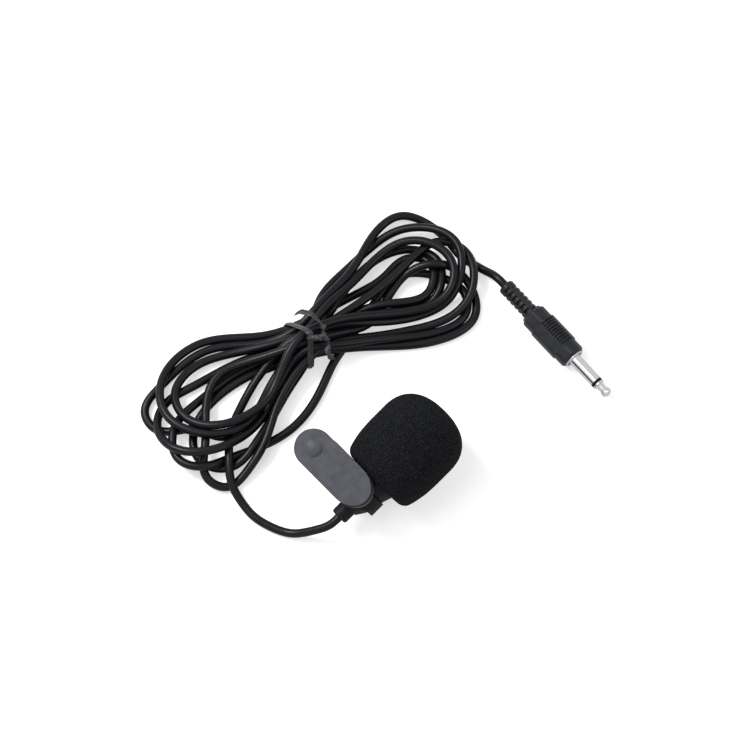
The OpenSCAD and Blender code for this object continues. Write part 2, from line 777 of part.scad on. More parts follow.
// One tooth: a ridge across the jaw
module tooth(height, width) {
    translate([0, width / 2, 0]) rotate([90, 0, 0]) linear_extrude(width)
        polygon([[-0.35, -0.2], [0.35, -0.2], [0.35, 0], [0, height], [-0.35, 0]]);
}

module clip_upper_jaw() {
    dome_r = (dome_d * dome_d / 4 + dome_h * dome_h) / (2 * dome_h);
    color([0.4, 0.41, 0.44]) in_clip() difference() {
        union() {
            translate([-jaw_mouth, 0, mouth_z]) rotate([0, -jaw_angle, 0]) {
                linear_extrude(upper_jaw_t) jaw_outline(jaw_len);
                translate([jaw_len - clip_w / 2, 0, upper_jaw_t]) intersection() {
                    translate([0, 0, dome_h - dome_r]) sphere(r = dome_r);
                    translate([0, 0, -0.2]) cylinder(h = dome_h + 1, d = dome_d + 2);
                }
                intersection() {
                    translate([0, -clip_w / 2, -mouth_gap + lip_room])
                        cube([lip_len, clip_w, mouth_gap]);
                    translate([0, 0, -mouth_gap]) linear_extrude(2 * mouth_gap)
                        jaw_outline(jaw_len);
                }
            }
            for (side = [-1, 1]) {
                y = side > 0 ? lug_space / 2 : -lug_out;
                translate([hinge_out, y, hinge_z]) rotate([-90, 0, 0]) cylinder(h = lug_t, d = ear_d);
                translate([hinge_out, y, hinge_z]) rotate([0, -jaw_angle, 0])
                    translate([-ear_d / 2, 0, 0]) cube([ear_d, lug_t, pin_drop + 0.5]);
            }
        }
        translate([hinge_out, 0, hinge_z]) rotate([90, 0, 0])
            cylinder(h = 4 * ear_out, r = pin_d / 2 + pin_room, center = true);
    }
}

module clip_hinge_pin() {
    color([0.7, 0.7, 0.72]) in_clip() translate([hinge_out, 0, hinge_z])
        rotate([90, 0, 0]) cylinder(h = pin_len, d = pin_d, center = true);
}

module clip_spring() {
    color([0.65, 0.65, 0.68]) in_clip() tube(spring_path, spring_wire_d, cord_sides, axis_y);
}

module cord_mic_run() {
    color([0.06, 0.06, 0.07]) tube(mic_route, cable_d, cord_sides, axis_z);
}

module cord_hank() {
    color([0.06, 0.06, 0.07]) tube(hank_path, cable_d, hank_sides, axis_z);
}

module cord_plug_run() {
    color([0.06, 0.06, 0.07]) tube(plug_route, cable_d, cord_sides, axis_z);
}

// Bar along x with round long edges, centred
module round_bar(length, width, height, r) {
    for (s = [[width - 2 * r, height], [width, height - 2 * r]])
        translate([-length / 2, -s[0] / 2, -s[1] / 2]) cube([length, s[0], s[1]]);
    for (y = [-1, 1], z = [-1, 1])
        translate([0, y * (width / 2 - r), z * (height / 2 - r)])
            rotate([0, 90, 0]) cylinder(h = length, r = r, center = true);
}

module twist_tie() {
    low_y = -(waist_half + 2 * waist_step + cable_d / 2 + tie_side_room);
    high_y = waist_half + 2.5 * waist_step + cable_d / 2 + tie_side_room;
    low_z = waist_lift - tie_room;
    wide = high_y - low_y;
    high = tie_top - tie_t - low_z;
    corner = cable_d / 2 + tie_room;
    color([0.22, 0.22, 0.23]) {
        translate([hank_place[0], hank_place[1], 0]) rotate([0, 0, hank_heading])
            translate([0, (low_y + high_y) / 2, low_z + high / 2]) difference() {
                round_bar(tie_w, wide + 2 * tie_t, high + 2 * tie_t, corner + tie_t);
                round_bar(2 * tie_w, wide, high, corner);
            }
        translate([twist_place[0], twist_place[1], tie_top - tie_t])
            linear_extrude(tie_twist_h, twist = -360 * twist_turns, slices = twist_slices)
                for (side = [-1, 1]) translate([side * 0.35 * tie_twist_d, 0])
                    circle(d = tie_twist_d, $fn = twist_sides);
        ribbon(looped_tail, tie_w, tie_t, 20, 90);
        ribbon(loose_tail, tie_w, tie_t, 20, 110);
    }
}

module plug_shell() {
    bevel = grip_bevel;
    relief_r = relief_d / 2;
    windows = floor((relief_len - 1.6) / rib_step) - 1;
    grooves = floor((pad_len - 1) / groove_step);
    color([0.08, 0.08, 0.09]) in_plug() difference() {
        union() {
            turned([
                [0, 0], [0, relief_r - 0.3], [0.3, relief_r], [relief_len - 0.4, relief_r],
                [relief_len - 0.4, grip_d / 2 - bevel], [relief_len + bevel, grip_d / 2],
                [grip_end - bevel, grip_d / 2], [grip_end, grip_d / 2 - bevel], [grip_end, 0]
            ]);
            intersection() {
                rod(relief_len + pad_back, relief_len + pad_back + pad_len, pad_d / 2);
                translate([0, -pad_d, -pad_h / 2]) cube([2 * grip_end, 2 * pad_d, pad_h]);
            }
        }
        for (side = [-1, 1], k = [0:windows]) translate([1.6 + k * rib_step, 0, 0]) {
            translate([0, -1.15, side > 0 ? 1.5 : -1.5 - relief_d]) cube([window_w, 2.3, relief_d]);
            translate([rib_step / 2, side > 0 ? 1.7 : -1.7 - relief_d, -1.35])
                cube([window_w - 0.1, relief_d, 2.7]);
        }
        for (side = [-1, 1], k = [0:grooves - 1])
            translate([
                relief_len + pad_back + 0.6 + k * groove_step,
                side > 0 ? pad_d / 2 - groove_h : -pad_d / 2 + groove_h - pad_d,
                -pad_d / 2
            ]) cube([groove_step / 2, pad_d, pad_d]);
        rod(-1, cable_in_plug, cable_bore_r);
        rod(pocket_start, grip_end + 1, inner_mould_d / 2 + contact_room);
    }
}

module plug_inner_mould() {
    color([0.85, 0.84, 0.8]) in_plug() difference() {
        rod(pocket_start, grip_end - 0.05, inner_mould_d / 2);
        rod(pocket_start - 1, cable_in_plug, cable_bore_r);
        rod(cable_in_plug, pocket_end, inner_hollow_d / 2);
        rod(pocket_end - 0.1, grip_end + 1, inner_hollow_d / 2 + contact_room);
    }
}

module plug_sleeve() {
    color([0.82, 0.82, 0.84]) in_plug() difference() {
        turned([
            [neck_start, 0], [neck_start, inner_hollow_d / 2], [grip_end, inner_hollow_d / 2],
            [grip_end, collar_d / 2], [collar_end - 0.2, collar_d / 2],
            [collar_end, collar_d / 2 - 0.2], [collar_end, plug_pin_d / 2],
            [sleeve_end, plug_pin_d / 2], [sleeve_end, 0]
        ]);
        rod(neck_start - 1, sleeve_end + 1, tube_d / 2 + contact_room);
    }
}

module plug_insulator() {
    color([0.1, 0.1, 0.1]) in_plug() difference() {
        union() {
            rod(tube_back, tip_start, tube_d / 2);
            rod(sleeve_end, tip_start, plug_pin_d / 2);
        }
        rod(tube_back - 1, tip_start + 1, rod_d / 2 + contact_room);
    }
}

module plug_tip() {
    r = plug_pin_d / 2;
    nose = [for (i = [0:8]) [tip_len - 0.9 + 0.9 * sin(90 * i / 8), 1.5 * cos(90 * i / 8) + 0.001]];
    color([0.82, 0.82, 0.84]) in_plug() {
        translate([tip_start, 0, 0]) turned(concat(
            [[0, 0], [0, r], [0.4, r], [0.75, 1.2], [tip_len - 2.2, 1.1], [tip_len - 1.3, 1.5]],
            nose,
            [[tip_len, 0]]
        ));
        rod(rod_back, tip_start + 0.1, rod_d / 2);
        rod(rod_back, tip_lug_back, rod_d / 2 + 0.35);
    }
}

module plug_tip_lug() {
    outer = tube_d / 2 + 0.5;
    color([0.75, 0.62, 0.35]) in_plug() {
        washer(tip_lug_back, tube_back, outer, rod_d / 2 + contact_room);
        translate([tip_tab_back, -0.7, outer - lug_plate_t])
            cube([tube_back - tip_tab_back, 1.4, lug_plate_t]);
    }
}

module plug_sleeve_lug() {
    outer = inner_hollow_d / 2 - 0.05;
    color([0.75, 0.62, 0.35]) in_plug() {
        washer(sleeve_lug_back, neck_start, outer, tube_d / 2 + contact_room);
        translate([sleeve_tab_back, -0.7, -outer + tab_inset])
            cube([neck_start - sleeve_tab_back, 1.4, lug_plate_t]);
    }
}

module plug_signal_wire() {
    tab_z = tube_d / 2 + 0.5 - lug_plate_t / 2;
    color([0.8, 0.15, 0.12]) in_plug()
        wire([cable_in_plug + wire_room, 0, wire_offset], [tip_tab_back - wire_room, 0, tab_z], core_d);
}

module plug_screen_wire() {
    tab_z = -inner_hollow_d / 2 + 0.05 + tab_inset + lug_plate_t / 2;
    color([0.75, 0.5, 0.3]) in_plug()
        wire([cable_in_plug + wire_room, 0, -wire_offset], [sleeve_tab_back - wire_room, 0, tab_z], screen_d);
}

windscreen();
mic_body();
front_grille();
dust_felt();
capsule_sleeve();
capsule_can();
capsule_diaphragm();
capsule_spacer();
capsule_back_plate();
capsule_holder();
capsule_board();
capsule_transistor();
solder_joints();
signal_wire();
screen_wire();
cable_clamp();
tail_boot();
clip_ring();
clip_lower_jaw();
clip_upper_jaw();
clip_hinge_pin();
clip_spring();
cord_mic_run();
cord_hank();
cord_plug_run();
twist_tie();
plug_shell();
plug_inner_mould();
plug_sleeve();
plug_insulator();
plug_tip();
plug_tip_lug();
plug_sleeve_lug();
plug_signal_wire();
plug_screen_wire();
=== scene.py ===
# %% [markdown]
# # A clip-on microphone with its cable tied in a hank
#
# This lesson dresses a small clip-on microphone that lies on a table. The hard pieces come
# from a construction model and only get their finish here. The foam windscreen, the cable,
# the twist tie and the plug's moulding are made again in more detail, close to where the
# construction model has them.

# %% Load the construction model
import json
import math

import bpy
import numpy as np
from mathutils import Matrix


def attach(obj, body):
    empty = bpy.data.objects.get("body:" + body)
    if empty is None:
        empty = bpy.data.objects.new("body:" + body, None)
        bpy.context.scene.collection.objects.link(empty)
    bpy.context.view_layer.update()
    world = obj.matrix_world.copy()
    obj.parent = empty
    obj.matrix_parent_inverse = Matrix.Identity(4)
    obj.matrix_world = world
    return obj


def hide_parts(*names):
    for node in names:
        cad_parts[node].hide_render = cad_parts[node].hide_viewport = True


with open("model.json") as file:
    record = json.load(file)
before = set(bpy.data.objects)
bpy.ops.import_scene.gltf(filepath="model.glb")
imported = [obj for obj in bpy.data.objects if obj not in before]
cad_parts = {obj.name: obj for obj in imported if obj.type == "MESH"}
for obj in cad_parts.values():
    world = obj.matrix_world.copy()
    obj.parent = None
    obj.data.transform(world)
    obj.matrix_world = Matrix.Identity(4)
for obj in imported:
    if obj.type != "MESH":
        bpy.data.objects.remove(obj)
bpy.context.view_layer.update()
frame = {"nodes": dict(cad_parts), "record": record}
nodes = frame["nodes"]
MM = 0.001

# %% [markdown]
# ## Camera
#
# Something this small is pictured from well above with a long lens, so that near and far
# parts keep their true proportions. A Track To constraint could aim the camera. Three axes
# worked out from a height angle and a heading do the same and stay plain numbers, so the
# camera's matrix is written from them.

# %% Place the camera
# Lengths in metres, angles in degrees.
CAMERA_TARGET = (0.0168, 0.0213, 0.0)
CAMERA_HEIGHT = 70.0
CAMERA_HEADING = 43.2
CAMERA_DISTANCE = 0.7
VIEW_WIDTH = 0.2101


def camera_axes(height, heading):
    """Right is level; back points from the target to the camera, at the height angle above
    the table; up is square to both."""
    h, a = math.radians(height), math.radians(heading)
    right = np.array([math.cos(a), -math.sin(a), 0.0])
    ahead = np.array([math.sin(a), math.cos(a), 0.0])
    above = np.array([0.0, 0.0, 1.0])
    back = above * math.sin(h) - ahead * math.cos(h)
    up = above * math.cos(h) + ahead * math.sin(h)
    return right, up, back


def place_camera():
    """The camera stands at target + distance * back, and sees VIEW_WIDTH at the target."""
    axes = camera_axes(CAMERA_HEIGHT, CAMERA_HEADING)
    matrix = np.eye(4)
    matrix[:3, :3] = np.stack(axes, axis=1)
    matrix[:3, 3] = np.array(CAMERA_TARGET) + CAMERA_DISTANCE * axes[2]
    data = bpy.data.cameras.new("studio_camera")
    data.lens = data.sensor_width * CAMERA_DISTANCE / VIEW_WIDTH
    data.clip_start = 0.01
    camera = bpy.data.objects.new("studio_camera", data)
    bpy.context.collection.objects.link(camera)
    camera.matrix_world = Matrix(matrix.tolist())
    bpy.context.scene.camera = camera
    return camera


camera = place_camera()
print("lens:", round(camera.data.lens, 1), "mm")

# %% [markdown]
# ## Surfaces from arrays
#
# Every new piece is a grid of points: rings of points along a path. Numpy works out all the
# points at once, and the mesh takes them with foreach_set, which is much faster than adding
# vertices one by one. Where a grid ends, one more point at its middle closes it.

# %% From a grid of points to an object
def cap_faces(ring, middle, outward):
    """Triangles from each side of a ring to its middle point."""
    following = np.roll(ring, -1)
    centre = np.full(len(ring), middle)
    return np.stack([following, ring, centre] if outward else [ring, following, centre], axis=1)


def skin(name, grid, uv=None, closed_path=False):
    """A mesh over grid[ring, side]: sides close into rings, and rings follow one another. The
    ends are capped, unless the path is closed. Faces point outwards, as the sign of the volume
    that they enclose, the sum of p . (q x r) / 6, says."""
    rings, sides = grid.shape[:2]
    points = grid.reshape(-1, 3)
    index = np.arange(rings * sides).reshape(rings, sides)
    rows = index if closed_path else index[:-1]
    ahead = np.roll(index, -1, axis=0)[: len(rows)]
    quads = np.stack([rows, np.roll(rows, -1, 1), np.roll(ahead, -1, 1), ahead], axis=-1)
    quads = quads.reshape(-1, 4)
    triangles = np.zeros((0, 3), dtype=int)
    if not closed_path:
        middles = np.stack([grid[0].mean(axis=0), grid[-1].mean(axis=0)])
        triangles = np.vstack([
            cap_faces(index[0], len(points), outward=True),
            cap_faces(index[-1], len(points) + 1, outward=False),
        ])
        points = np.vstack([points, middles])
    a, b, c, d = (points[quads[:, k]] for k in range(4))
    volume = (a * np.cross(b, c)).sum() + (a * np.cross(c, d)).sum()
    if volume < 0:
        quads, triangles = quads[:, ::-1], triangles[:, ::-1]
    mesh = bpy.data.meshes.new(name)
    corners = np.concatenate([quads.ravel(), triangles.ravel()])
    starts = np.concatenate([
        np.arange(len(quads)) * 4,
        len(quads) * 4 + np.arange(len(triangles)) * 3,
    ])
    mesh.vertices.add(len(points))
    mesh.vertices.foreach_set("co", points.ravel())
    mesh.loops.add(len(corners))
    mesh.loops.foreach_set("vertex_index", corners)
    mesh.polygons.add(len(starts))
    mesh.polygons.foreach_set("loop_start", starts)
    mesh.polygons.foreach_set("use_smooth", np.ones(len(starts), dtype=bool))
    if uv is not None:
        padded = np.vstack([uv.reshape(-1, 2), uv[0, :1], uv[-1, :1]])
        layer = mesh.uv_layers.new(name="along")
        layer.uv.foreach_set("vector", padded[corners].ravel())
    mesh.update(calc_edges=True)
    mesh.validate()
    piece = bpy.data.objects.new(name, mesh)
    bpy.context.collection.objects.link(piece)
    return piece


# %% A profile carried along a path
def unit(v):
    """Each vector divided by its length."""
    return v / np.linalg.norm(v, axis=-1, keepdims=True)


def lengths_along(path):
    """The distance of each point from the start, along the path."""
    steps = np.linalg.norm(np.diff(path, axis=0), axis=1)
    return np.concatenate([[0.0], np.cumsum(steps)])


def even_steps(path, step):
    """The same path with its points one step apart, by linear interpolation along it."""
    along = lengths_along(path)
    wanted = np.linspace(0.0, along[-1], int(round(along[-1] / step)) + 1)
    return np.stack([np.interp(wanted, along, path[:, k]) for k in range(3)], axis=1)


def sweep(path, profile, across, closed=False):
    """Ring i is path[i] + x * side + y * top for each (x, y) of the profile. Top is the
    direction "across" made square to the path, and side is square to both."""
    if closed:
        along = unit(np.roll(path, -1, axis=0) - np.roll(path, 1, axis=0))
    else:
        along = unit(np.gradient(path, axis=0))
    across = np.broadcast_to(across, path.shape)
    side = unit(np.cross(along, across))
    top = np.cross(side, along)
    profile = np.broadcast_to(profile, (len(path),) + np.shape(profile)[-2:])
    return (
        path[:, None]
        + profile[..., :1] * side[:, None]
        + profile[..., 1:] * top[:, None]
    )


def circle(radius, sides):
    """Points at even angles round the origin."""
    angle = np.arange(sides) * 2 * math.pi / sides
    return radius * np.stack([np.cos(angle), np.sin(angle)], axis=1)


SPAN_POWER = 0.75


def smooth_curve(knots, steps_each=60):
    """A smooth curve through the knots: a cubic on each span, whose slopes come from one set
    of linear equations that make the curvature continuous. A span counts as its length to
    SPAN_POWER, which keeps short spans from making loops."""
    knots = np.asarray(knots, dtype=float)
    count = len(knots)
    span = np.linalg.norm(np.diff(knots, axis=0), axis=1) ** SPAN_POWER
    left, right = np.zeros((count, count)), np.zeros((count, 3))
    left[0, :2], right[0] = (2, 1), 3 * (knots[1] - knots[0]) / span[0]
    left[-1, -2:], right[-1] = (1, 2), 3 * (knots[-1] - knots[-2]) / span[-1]
    i = np.arange(1, count - 1)
    before, after = span[i - 1][:, None], span[i][:, None]
    left[i, i - 1], left[i, i + 1] = span[i], span[i - 1]
    left[i, i] = 2 * (span[i - 1] + span[i])
    right[i] = 3 * (
        after * (knots[i] - knots[i - 1]) / before + before * (knots[i + 1] - knots[i]) / after
    )
    slope = np.linalg.solve(left, right)
    s = np.linspace(0, 1, steps_each, endpoint=False)[None, :, None]
    width = span[:, None, None]
    curve = (
        (2 * s**3 - 3 * s**2 + 1) * knots[:-1, None]
        + (s**3 - 2 * s**2 + s) * width * slope[:-1, None]
        + (3 * s**2 - 2 * s**3) * knots[1:, None]
        + (s**3 - s**2) * width * slope[1:, None]
    )
    return np.vstack([curve.reshape(-1, 3), knots[-1:]])


# %% [markdown]
# ## Where the microphone and the plug point
#
# The head lies tilted on the shoulder of its windscreen. The joints of the model say where its
# axis runs: the windscreen slides off along it, and the clip turns on it.

# %% Axes of the head and of the plug
joints = {joint["name"]: joint for joint in frame["record"]["behaviour"]["joints"]}
mounts = {mount["name"]: mount for mount in frame["record"]["mounts"]}
head_axis = unit(np.array(joints["windscreen_pull"]["axis"], dtype=float))
clip_centre = np.array(joints["clip_swivel"]["pos_m"])
CLIP_FROM_TAIL = 8.8 * MM
head_exit = clip_centre - CLIP_FROM_TAIL * head_axis
plug_axis = unit(np.array(mounts["plug_pin"]["axis"], dtype=float))
PIN_FROM_MOUTH = 34.85 * MM
plug_entry = np.array(mounts["plug_pin"]["pos_m"]) - PIN_FROM_MOUTH * plug_axis
print("cable leaves the head at", head_exit.round(4), "and enters the plug at", plug_entry.round(4))


# %% [markdown]
# ## The cable
#
# A microphone cable is a soft round lead, 2.4 mm thick, folded here into about seven loops
# and tied at the waist. A physics simulation of the whole cable could pile the loops up, but
# their places would come out by chance. So each half loop has a few points that say how it
# lies and which loop it crosses over, in millimetres, from the plug to the head. A smooth
# curve joins them, and the next step lets the curve settle under its own weight.

# %% The cable's route
CABLE = 2.4 * MM
PLUG_RUN = [(61, 21.2, 2.4), (60.3, 25.3, 1.6)]
HALF_LOOPS = [
    [(59.2, 30.8, 2.5), (59.9, 36.8, 3), (55.1, 50.4, 6), (46.7, 51.8, 6), (33.2, 47.3, 6.5),
     (19, 45, 5)],
    [(9.5, 44.5, 3.5), (2.5, 47.5, 3.5), (-12, 58.4, 5.5), (-30.6, 59.4, 5), (-37.6, 56.9, 3),
     (-38.3, 51, 2), (-31.5, 44, 2.5), (-26.5, 36.5, 1.5), (-8.5, 35.5, 1), (6.5, 40, 2)],
    [(16.5, 39.5, 2.8), (30.5, 33.4, 3.6), (43, 27.3, 2.5), (49.3, 30.6, 3), (51.4, 35.7, 3),
     (47, 40.7, 3), (38.5, 40.5, 3.5), (26, 42, 3.5), (16, 43, 3)],
    [(10.5, 46, 1), (0, 51.5, 1.5), (-12.5, 61, 3.5), (-28.6, 59.4, 5.5), (-34.6, 48, 7),
     (-22, 34, 7.5), (-9, 35.5, 5.5), (5, 39.5, 5)],
    [(14, 39, 5.5), (22, 34.5, 5.5), (42.4, 23.7, 5.8), (49.8, 23.7, 6), (59.3, 33.2, 6),
     (51, 48, 6), (33.5, 50, 2), (20.5, 48, 2)],
    [(9, 42.5, 1), (-9.5, 49.5, 2.5), (-24, 53.6, 5.5), (-31.6, 54.7, 5), (-38.7, 50, 4.5),
     (-39.3, 40.3, 5.5), (-32.4, 33.8, 5.5), (-24, 32.3, 4.5), (-11, 34.6, 4), (4, 39, 3.5)],
    [(12.5, 34, 3.5), (25.5, 26, 3.5), (46.5, 16.2, 2.5), (52.2, 21.4, 1.5), (51, 28.8, 1),
     (42, 37, 1), (33.5, 36.5, 1), (24, 33.2, 1)],
    [(13.4, 30.4, 1), (2.6, 27.2, 1), (-13.5, 25.5, 1), (-30.2, 30, 2.5), (-37, 32.7, 3),
     (-40.6, 39.2, 2.5), (-35.6, 46.3, 2.3), (-24, 48.3, 2.5), (-6.5, 46, 3), (8.5, 41, 3.5)],
    [(18, 43, 4), (40.5, 46, 4), (49.3, 41.2, 4.5), (51.8, 33.2, 4), (45.9, 26.8, 4.3),
     (43, 26.3, 4), (39.5, 27.4, 4), (16.5, 39.5, 4)],
    [(5, 35.6, 3), (-3, 31, 2.5), (-18, 28.2, 2.5), (-31, 29, 1), (-36, 36, 1), (-30.5, 43.8, 1),
     (-10, 46, 1), (-2, 43.5, 1), (8, 38, 2)],
    [(15.5, 32.5, 3.5), (26, 25, 2.5), (49, 15, 1), (54.4, 26.3, 3.5), (51.4, 31.8, 5.5),
     (42.5, 37.8, 3.5), (27, 34.5, 3), (15, 36.5, 4.5)],
    [(7, 38.5, 6), (-2.5, 43.8, 5.5), (-16.5, 49.9, 5.5), (-26, 44.5, 4), (-33, 36.8, 3),
     (-37.9, 30.5, 2.5), (-35.4, 25, 2), (-28, 25, 3), (-19.5, 27.6, 4), (4, 36, 4.5)],
    [(13.5, 35.5, 2.5), (35.5, 21.3, 2.5), (50.4, 18.8, 4), (58.2, 25, 4.5), (59.9, 31.7, 4),
     (56, 37.5, 5), (46, 37.8, 6.5), (27.5, 38, 6.5), (15, 40, 5.5)],
    [(9, 43, 6), (-3.5, 49.4, 7), (-17.4, 56.6, 8.5), (-28.2, 54.4, 8.7), (-31.6, 46, 9.6),
     (-27, 37.6, 10.8), (-14, 34.2, 10), (-8.5, 35.5, 9), (4, 40.5, 7.5)],
    [(15, 39, 7), (36.5, 27.3, 7.5), (46.4, 23.9, 8.5), (52.2, 26.7, 9), (54.6, 33.2, 9),
     (48.5, 43.7, 9), (30.5, 45, 8), (18, 43.5, 7)],
]
MICROPHONE_RUN = [
    (10, 41.5, 8), (3.2, 43, 7), (-8.5, 42.6, 4.5), (-18, 39, 4.2), (-25, 34.9, 5),
    (-30.3, 29.8, 5), (-33, 26.7, 4), (-34.9, 23.2, 2.8), (-35.8, 18.8, 1.6), (-36, 14, 1.3),
    (-34.8, 9, 1.3), (-32, 3.2, 2), (-28.4, -0.4, 4),
]
RAISE = 1.5
IN_RELIEF, IN_BOOT, STRAIGHT = 6.5 * MM, 4 * MM, 2.4 * MM


def cable_knots():
    """All the points in order. The hank's heights are stretched, so that crossing runs start
    clear of one another and meet only as they sink."""
    hank = np.array([knot for half in HALF_LOOPS for knot in half], dtype=float) * MM
    hank[:, 2] = CABLE / 2 + RAISE * (hank[:, 2] - CABLE / 2)
    plug_end = [plug_entry + x * plug_axis for x in (IN_RELIEF, 0, -STRAIGHT)]
    head_end = [head_exit + x * head_axis for x in (-STRAIGHT, 0, IN_BOOT)]
    runs = [plug_end, np.array(PLUG_RUN) * MM, hank, np.array(MICROPHONE_RUN) * MM, head_end]
    return np.vstack(runs)


CABLE_STEP = 1.3 * MM
cable_start = even_steps(smooth_curve(cable_knots()), CABLE_STEP)
print("cable:", round(lengths_along(cable_start)[-1], 3), "m,", len(cable_start), "points")

# %% [markdown]
# ## Let the cable settle
#
# Position-based dynamics moves points directly: each sinks a little, points of two runs that
# are closer than a diameter push each other apart, and nothing goes below the table. A cable
# also resists bending, so the moves are smoothed along it. Smoothing the moves, and not the
# cable, keeps the shape of its loops.

# %% Settle it
ROUNDS, PASSES, HELD_POINTS = 500, 3, 6
STIFF_POINTS = 1.68
PAIRS_EVERY, PAIR_REACH, PAIR_SKIP = 15, 1.4 * MM, 5
SINK, SINK_SLOWS = 0.052, 0.05
DRAW_BACK = 0.02
LEVEL_SHARE, OVERDONE = 0.8, 1.3
SPACING = 1.03


def bending_filter(count, length):
    """The matrix that smooths moves over about that many points: the inverse of
    I + length^4 * D'D, where D takes second differences."""
    second = np.zeros((count - 2, count))
    i = np.arange(count - 2)
    second[i, i], second[i, i + 1], second[i, i + 2] = 1, -2, 1
    return np.linalg.inv(np.eye(count) + length**4 * second.T @ second)


def near_pairs(points, reach, skip):
    """Pairs of points within reach of each other, more than skip steps apart on the cable."""
    squares = (points**2).sum(axis=1)
    apart = squares[:, None] + squares[None] - 2 * points @ points.T
    return np.nonzero(np.triu(apart < reach**2, skip))


def push_apart(points, pairs, distance):
    """Each pair that is too close moves apart by its shortfall, shared between the two, and
    less sideways than up; a point in several pairs takes the mean of its moves, overdone a
    little so that fewer passes are needed."""
    first, second = pairs
    gap = points[second] - points[first]
    length = np.linalg.norm(gap, axis=1)
    close = length < distance
    first, second, gap, length = first[close], second[close], gap[close], length[close]
    move = gap * ((distance - length) / np.maximum(length, 1e-6) / 2)[:, None]
    move[:, :2] *= LEVEL_SHARE
    count = len(points)
    times = np.bincount(first, minlength=count) + np.bincount(second, minlength=count)
    total = [
        np.bincount(second, move[:, k], count) - np.bincount(first, move[:, k], count)
        for k in range(3)
    ]
    return points + OVERDONE * np.stack(total, axis=1) / np.maximum(times, 1)[:, None]


WAIST = np.array([7.5, 41.2, 0]) * MM
WAIST_HEADING = math.radians(-18)
WAIST_HALF, WAIST_OPENS = 6.1 * MM, 0.9
WAIST_REACH, WAIST_SLACK = 15 * MM, 2 * MM
waist_axis = np.array([math.cos(WAIST_HEADING), math.sin(WAIST_HEADING), 0])
waist_side = np.array([-math.sin(WAIST_HEADING), math.cos(WAIST_HEADING), 0])


def squeeze(points):
    """The tie gathers the waist. The runs through it stay within a width that is WAIST_HALF to
    each side in the tie's plane and opens away from it as a hyperbola."""
    away, side = (points - WAIST) @ waist_axis, (points - WAIST) @ waist_side
    limit = np.hypot(WAIST_HALF, WAIST_OPENS * away)
    through = (np.abs(away) < WAIST_REACH) & (side > -limit - WAIST_SLACK)
    shift = np.where(through, np.clip(side, -limit, limit) - side, 0)
    return points + shift[:, None] * waist_side


def settle(start, diameter):
    """Sinks the curve from its start, less and less each round, and keeps its first and last
    points where they are. Each round also draws the curve back a little to its start."""
    points, count = start.copy(), len(start)
    smooth = bending_filter(count, STIFF_POINTS)
    loose = np.ones((count, 1), dtype=bool)
    loose[:HELD_POINTS] = loose[-HELD_POINTS:] = False
    for turn in range(ROUNDS):
        if turn % PAIRS_EVERY == 0:
            pairs = near_pairs(points, diameter + PAIR_REACH, PAIR_SKIP)
        moved = points - [0, 0, (SINK - SINK_SLOWS * turn / ROUNDS) * MM]
        moved[:, :2] += DRAW_BACK * (start[:, :2] - moved[:, :2])
        moved = squeeze(moved)
        for _ in range(PASSES):
            moved = push_apart(moved, pairs, diameter)
            moved[:, 2] = np.maximum(moved[:, 2], diameter / 2)
        points = np.where(loose, start + smooth @ (moved - start), start)
        points[:, 2] = np.maximum(points[:, 2], diameter / 2)
    return points


settled = settle(cable_start, SPACING * CABLE)
print("highest run:", round(settled[:, 2].max() * 1000, 1), "mm")

# %% The cable's jacket
RING_STEP, CABLE_SIDES = 0.65 * MM, 24
cable_path = even_steps(smooth_curve(settled[::2], 4), RING_STEP)
cable_path[:, 2] = np.maximum(cable_path[:, 2], CABLE / 2)
cable_rings = sweep(cable_path, circle(CABLE / 2, CABLE_SIDES), (0, 0, 1))
around = np.arange(CABLE_SIDES)[None] / CABLE_SIDES * math.pi * CABLE
cable_uv = np.stack(np.broadcast_arrays(lengths_along(cable_path)[:, None], around), axis=-1)
cable = skin("cable", cable_rings, cable_uv)
print("cable faces:", len(cable.data.polygons))

# %% [markdown]
# ## The foam windscreen
#
# The windscreen is a bullet of open-cell foam, pushed over the head. Foam is a net of thin
# struts round small open cells. A bump in the material alone leaves the outline smooth, so
# the larger cells are pressed into the mesh itself.

# %% The foam's profile
def along_head(node):
    """Distance along the head's axis, and radius, of each vertex of a CAD node."""
    mesh = nodes[node].data
    points = np.empty(len(mesh.vertices) * 3)
    mesh.vertices.foreach_get("co", points)
    points = points.reshape(-1, 3) - head_exit
    along = points @ head_axis
    return along, np.linalg.norm(points - along[:, None] * head_axis, axis=1)


# The dressed foam has this much less radius than its solid. It starts this much nearer the
# cable, and its dome ends twice this much short.
FOAM_TRIM = 0.4 * MM
FOAM_BASE = 10.6 * MM
CROWN_AT, DOME_AT = 0.46, 0.6
FLANK_POWER, DOME_POWER = 2.5, 2.35
EDGE_RUN, EDGE_DROP = 1.9 * MM, 2 * MM
ON_AXIS, SAME_PLACE, DOME_MARGIN = 0.02 * MM, 0.05 * MM, 1 * MM
foam_along, foam_radius = along_head("windscreen")
foam_start, foam_end = foam_along.min() - FOAM_TRIM, foam_along.max() - 2 * FOAM_TRIM
foam_wide = foam_radius.max() - FOAM_TRIM
bore = foam_radius[foam_along < foam_along.min() + SAME_PLACE].min()
bore_end = foam_along[foam_radius < bore + SAME_PLACE]
bore_end = bore_end[bore_end < foam_end - DOME_MARGIN].max()
print("foam from", (foam_start * 1000).round(2), "to", (foam_end * 1000).round(2),
      "bore", (bore * 1000).round(2), "to", (bore_end * 1000).round(2))


